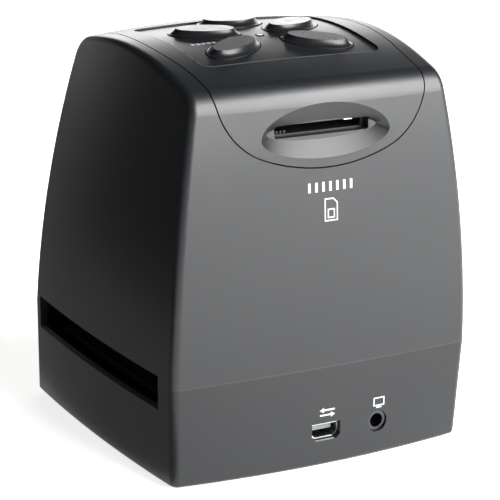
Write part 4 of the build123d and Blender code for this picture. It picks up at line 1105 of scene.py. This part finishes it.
@dataclass
class Sockets:
    """Contacts in the card slot and in the mini socket."""

    finger_t: float = 0.12 * MM
    strip_count: int = 5
    strip_pitch: float = 0.8 * MM
    strip_w: float = 0.4 * MM
    strip_t: float = 0.1 * MM
    strip_sunk: float = 0.04 * MM
    strip_share: float = 0.9
    dot_count: int = 4
    dot_x: float = 11.2 * MM
    dot_pitch: float = 1.05 * MM
    dot_back: float = 2.2 * MM
    dot_size: tuple[float, float, float] = (0.5 * MM, 1.6 * MM, 0.4 * MM)
    tab_x: float = -9.6 * MM
    tab_back: float = 1.4 * MM
    tab_rise: float = 1.9 * MM
    tab_size: tuple[float, float, float] = (2.4 * MM, 0.4 * MM, 0.9 * MM)

    def build(self, finish: dict[Finish, bpy.types.Material]) -> None:
        """Build the contacts.

        Args:
            finish: The built material of each finish.
        """
        boxes = loose_boxes("card_contacts")
        fingers = [over_middle(box, box[0].z + self.finger_t / 2) for box in boxes]
        span = boxes[0][1] - boxes[0][0]
        piece = finger_recipe().run(
            "card_contact_fingers", fingers, finish[CONTACT_GOLD], "contact_gold", width=span.x,
            thickness=self.finger_t, start=(0.0, -span.y / 2, 0.0), middle=(0.0, 0.0, span.z * 2),
            end=(0.0, span.y / 2, 0.0),
        )
        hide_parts("card_contacts")

        low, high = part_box("usb_tongue")
        strips = [
            Vector((
                (i - (self.strip_count - 1) / 2) * self.strip_pitch, (low.y + high.y) / 2,
                low.z - self.strip_sunk,
            ))
            for i in range(self.strip_count)
        ]
        block = block_recipe()
        block.run(
            "mini_socket_contacts", strips, finish[CONTACT_GOLD], "contact_gold",
            size=(self.strip_w, (high.y - low.y) * self.strip_share, self.strip_t),
        )
        mouth_y, floor_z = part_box("card_socket")[1].y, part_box("card_contacts")[0].z
        dots = [
            Vector((self.dot_x - self.dot_pitch * i, mouth_y - self.dot_back, floor_z + self.dot_size[2] / 2))
            for i in range(self.dot_count)
        ]
        tab = Vector((self.tab_x, mouth_y - self.tab_back, floor_z + self.tab_rise))
        for name, points, metal, size in (
            ("card_guide_contacts", dots, BLACK_NICKEL, self.dot_size),
            ("card_lock_tab", [tab], NICKEL_STEEL, self.tab_size),
        ):
            block.run(name, points, finish[metal], "plated_steel", size=size)


def lathe(
    name: str, outline: list[Point], middles: list[Vector], material: bpy.types.Material, steps: int = 48
) -> bpy.types.Object:
    """Turn an outline about upright axes into closed round pieces.

    Args:
        name: The piece's name.
        outline: Radius and height of each corner in metres, from the axis at the foot to that at the top.
        middles: Where each axis stands.
        material: The finish.
        steps: The number of sides.

    Returns:
        The piece, riding on the case.
    """
    verts: list[Vector] = []
    faces: list[list[int]] = []
    rings = len(outline) - 2
    for middle in middles:
        first = len(verts)
        verts.append(middle + Vector((0, 0, outline[0][1])))
        for radius, height in outline[1:-1]:
            for i in range(steps):
                a = 2 * math.pi * i / steps
                verts.append(middle + Vector((radius * math.cos(a), radius * math.sin(a), height)))
        verts.append(middle + Vector((0, 0, outline[-1][1])))
        last = len(verts) - 1
        top = first + 1 + (rings - 1) * steps
        for i in range(steps):
            j = (i + 1) % steps
            faces.append([first, first + 1 + j, first + 1 + i])
            for k in range(rings - 1):
                a, b = first + 1 + k * steps, first + 1 + (k + 1) * steps
                faces.append([a + i, a + j, b + j, b + i])
            faces.append([top + i, top + j, last])
    return put(name, verts, faces, material, Body.CASE)


@dataclass
class RoundPieces:
    """The rubber feet with their grip rings, and the polished lens elements."""

    foot_edge: float = 0.4 * MM
    groove: float = 0.25 * MM
    groove_count: int = 3
    first_groove: float = 0.6
    sag: float = 0.7 * MM
    arc_steps: int = 6

    def build(self, finish: dict[Finish, bpy.types.Material]) -> None:
        """Build the round pieces.

        Args:
            finish: The built material of each finish.
        """
        boxes = loose_boxes("rubber_feet")
        radius, height = (boxes[0][1].x - boxes[0][0].x) / 2, boxes[0][1].z
        outline = [(0.0, self.groove)]
        for i in range(self.groove_count):
            a = radius * (i + self.first_groove) / (self.groove_count + 1)
            outline += [(a + k * self.groove, self.groove if k in (0, 3) else 0.0) for k in range(4)]
        edge = self.foot_edge
        outline += [(radius - 3 * edge, 0.0), (radius - edge, 0.0), (radius, edge), (radius, height)]
        outline.append((0.0, height))
        middles = [over_middle(box, 0.0) for box in boxes]
        feet = lathe("ringed_feet", outline, middles, finish[FOOT_RUBBER])
        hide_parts("rubber_feet")

        boxes = loose_boxes("lens_elements")
        radius, height = (boxes[0][1].x - boxes[0][0].x) / 2, boxes[0][1].z - boxes[0][0].z
        shares = [i / self.arc_steps for i in range(self.arc_steps + 1)]
        lower = [(radius * share, self.sag * share ** 2) for share in shares]
        upper = [(r, height - z) for r, z in reversed(lower)]
        middles = [over_middle(box, box[0].z) for box in boxes]
        lenses = lathe("ground_lenses", lower + upper, middles, finish[LENS])
        lenses.data.shade_smooth()
        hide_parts("lens_elements")


# ---------------------------------------------------------------- studio and camera
@dataclass
class Camera:
    """The camera of the photograph, found by fitting the body's corners; its frame is 500 pixels square."""

    place: tuple[float, float, float] = (282.83, 461.41, 216.51)
    yaw: float = 31.52
    pitch: float = 17.68
    roll: float = 2.38
    focal_px: float = 2258.0
    frame_px: float = 500.0
    sensor: float = 36.0
    clip: tuple[float, float] = (0.01, 20.0)

    def build(self) -> None:
        """Make it the scene's camera."""
        data = bpy.data.cameras.new("camera")
        data.sensor_width = self.sensor
        data.lens = self.focal_px / self.frame_px * self.sensor
        data.clip_start, data.clip_end = self.clip
        camera = placed("camera", data)
        yaw, pitch, roll = (math.radians(a) for a in (self.yaw, self.pitch, self.roll))
        back = Vector((math.sin(yaw) * math.cos(pitch), math.cos(yaw) * math.cos(pitch), math.sin(pitch)))
        right = Vector((-math.cos(yaw), math.sin(yaw), 0.0))
        above = back.cross(right)
        across = right * math.cos(roll) + above * math.sin(roll)
        upward = above * math.cos(roll) - right * math.sin(roll)
        turned = Matrix((across, upward, back)).transposed().to_4x4()
        camera.matrix_world = Matrix.Translation(Vector(self.place) * MM) @ turned
        bpy.context.scene.camera = camera


@dataclass
class Softbox:
    """A rectangular soft light that faces the middle of the object.

    Its azimuth is measured from +Y towards +X, and its elevation from the floor, in degrees.
    """

    name: str
    azimuth: float
    elevation: float
    distance: float
    width: float
    height: float
    power: float
    aim_height: float = 50 * MM

    def build(self) -> None:
        """Hang the light."""
        data = bpy.data.lights.new(self.name, "AREA")
        data.shape = "RECTANGLE"
        data.size, data.size_y, data.energy = self.width, self.height, self.power
        lamp = placed(self.name, data)
        a, e = math.radians(self.azimuth), math.radians(self.elevation)
        out = Vector((math.sin(a) * math.cos(e), math.cos(a) * math.cos(e), math.sin(e)))
        lamp.location = out * self.distance + Vector((0, 0, self.aim_height))
        lamp.rotation_euler = out.to_track_quat("Z", "Y").to_euler()
        lamp.visible_camera = False


@dataclass
class Studio:
    """A pale floor that glows a little, a sky and soft lights, with a card and a mat for reflections."""

    reach: float = 6.0
    floor_colour: str = "#F4F4F3"
    floor_roughness: float = 0.9
    floor_glow: float = 0.88
    sky_colour: str = "#E8E9EA"
    horizon: float = 1.0
    zenith: float = 0.05
    fade_height: float = 0.35
    cloth_colour: str = "#050505"
    card_x: float = 0.10
    card_y: tuple[float, float] = (0.06, -0.13)
    card_z: tuple[float, float] = (0.02, 0.20)
    mat_x: tuple[float, float] = (0.044, 0.60)
    mat_y: float = -0.90
    mat_z: float = 0.0005
    mat_glow: float = 0.30

    def build(self) -> None:
        """Make the floor, the sky, the lights, the card and the mat."""
        r = self.reach
        floor = self._sheet(
            "floor", [(-r, -r, 0), (r, -r, 0), (r, r, 0), (-r, r, 0)], "backdrop_paper",
            {
                "Base Color": linear(self.floor_colour), "Roughness": self.floor_roughness,
                "Emission Strength": self.floor_glow,
            },
        )

        world = bpy.data.worlds.new("studio")
        world.use_nodes = True
        tree = world.node_tree
        way = add(tree, "ShaderNodeTexCoord").outputs["Generated"]
        height = add(tree, "ShaderNodeSeparateXYZ", {"Vector": way}).outputs["Z"]
        inputs = {
            "Value": height, "From Max": self.fade_height, "To Min": self.horizon, "To Max": self.zenith,
        }
        fade = add(tree, "ShaderNodeMapRange", inputs, interpolation_type="SMOOTHSTEP")
        feed(tree, tree.nodes["Background"], {"Color": linear(self.sky_colour), "Strength": fade})
        bpy.context.scene.world = world

        for box in (
            Softbox("key_light", -31.5, 26.5, 0.9, 0.9, 0.66, 33.0),
            Softbox("high_light", -46.0, 46.0, 0.9, 0.40, 0.30, 3.6),
            Softbox("back_light", 218.0, 3.0, 1.2, 0.9, 0.26, 0.4),
            Softbox("rim_light", 218.0, 14.0, 1.2, 0.9, 0.30, 4.4),
        ):
            box.build()
        x, (near, far), (low, high) = self.card_x, self.card_y, self.card_z
        self._card("dark_card", [(x, far, low), (x, near, low), (x, near, high), (x, far, high)], 0.0)
        inner, outer, reach = self.mat_x[0], self.mat_x[1], self.mat_y
        corners = [(inner, reach, self.mat_z), (outer, reach, self.mat_z), (outer, near, self.mat_z)]
        self._card("grey_mat", [*corners, (inner, near, self.mat_z)], self.mat_glow)

    def _sheet(
        self, name: str, corners: list[tuple[float, float, float]], finish: str, inputs: dict
    ) -> bpy.types.Object:
        """Make a flat sheet that may glow in the floor's colour.

        Args:
            name: The sheet's name.
            corners: Its corners in order.
            finish: Its material's name.
            inputs: The other inputs of its shader.

        Returns:
            The sheet.
        """
        material, tree, shader = blank(finish)
        feed(tree, shader, {"Emission Color": linear(self.floor_colour), **inputs})
        mesh = bpy.data.meshes.new(name)
        mesh.from_pydata(corners, [], [(0, 1, 2, 3)])
        mesh.materials.append(material)
        return placed(name, mesh)

    def _card(self, name: str, corners: list[tuple[float, float, float]], glow: float) -> None:
        """Set a flat card beside the +X side. Only reflections see it, and it tones that side down.

        Args:
            name: The card's name.
            corners: Its corners in order.
            glow: How bright it looks, with the floor at about one.
        """
        card = self._sheet(
            name, corners, name + "_cloth",
            {
                "Base Color": linear(self.cloth_colour), "Roughness": 1.0, "Specular IOR Level": 0.0,
                "Emission Strength": glow,
            },
        )
        card.visible_camera = card.visible_shadow = card.visible_diffuse = False


# ---------------------------------------------------------------- the whole object
def dress_frame(finish: dict[Finish, bpy.types.Material]) -> None:
    """Give every CAD node its finish.

    Args:
        finish: The built material of each finish.
    """
    dress(finish[CASE_ABS], "upper_shell", "top_cover", "screen_frame")
    # The base shell takes the darker copy of the case plastic: painted shade.
    dress(finish[SHADED_BASE_ABS], "base_shell")
    keys = ("front", "right", "left", "rear_right", "rear_left")
    dress(finish[KEY_ABS], *("button_" + k for k in keys))
    dress(finish[WHITE_POM], *("switch_plunger_" + k for k in keys))
    dress(finish[WHITE_POM], "detent_plunger", "diffuser", "light_box")
    dress(
        finish[INNER_PS],
        "film_gate_lower", "film_gate_upper", "lens_tunnel", "lens_holder", "lens_barrel",
        "lcd_carrier", "detent_plug",
    )
    dress(finish[BLACK_PA], "switch_bodies", "card_socket", "av_jack")
    dress(finish[SOCKET_PA], "usb_tongue")
    dress(finish[FOOT_RUBBER], "rubber_feet")
    dress(finish[ZINC_STEEL], "base_screws", "keypad_screws", "main_screws", "card_screws", "io_screws")
    dress(finish[SPRING_STEEL], "detent_spring")
    dress(finish[NICKEL_STEEL], "usb_shell", "card_shield")
    dress(finish[BLACK_NICKEL], "av_jack_ring")
    dress(finish[CONTACT_GOLD], "card_contacts")
    dress(
        finish[CIRCUIT],
        "main_board", "keypad_board", "card_board", "io_board", "sensor_board", "backlight_board",
    )
    dress(finish[CHIP_EPOXY], "board_chips", "image_sensor")
    dress(finish[CABLE], "io_ribbon", "sensor_ribbon", "keypad_ribbon")
    dress(finish[PANE], "screen_window")
    dress(finish[SMOKED_PIPE], "light_pipe")
    dress(finish[LED_RESIN], "status_led", "backlight_leds")
    dress(finish[LENS], "lens_elements")
    dress(finish[BLUE_FILTER], "infrared_filter")
    dress(finish[LCD_FACE], "lcd_module")


def main() -> None:
    """Build the scene."""
    logging.basicConfig(level=logging.INFO, format="%(name)s: %(message)s")
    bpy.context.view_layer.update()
    finish = {f: f.build() for f in FINISHES}
    dress_frame(finish)
    RearMarks().build(finish[PRINT_INK])
    KeyMarks().build(finish[PRINT_INK], finish[EDGE_HIGHLIGHT_ABS])
    Screws().build(finish[ZINC_STEEL])
    Detent().build(finish[SPRING_STEEL])
    Boards().build(finish)
    Sockets().build(finish)
    RoundPieces().build(finish)
    bpy.context.scene.view_settings.view_transform = "Standard"
    Studio().build()
    Camera().build()
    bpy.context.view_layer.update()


if __name__ == "__main__":
    main()
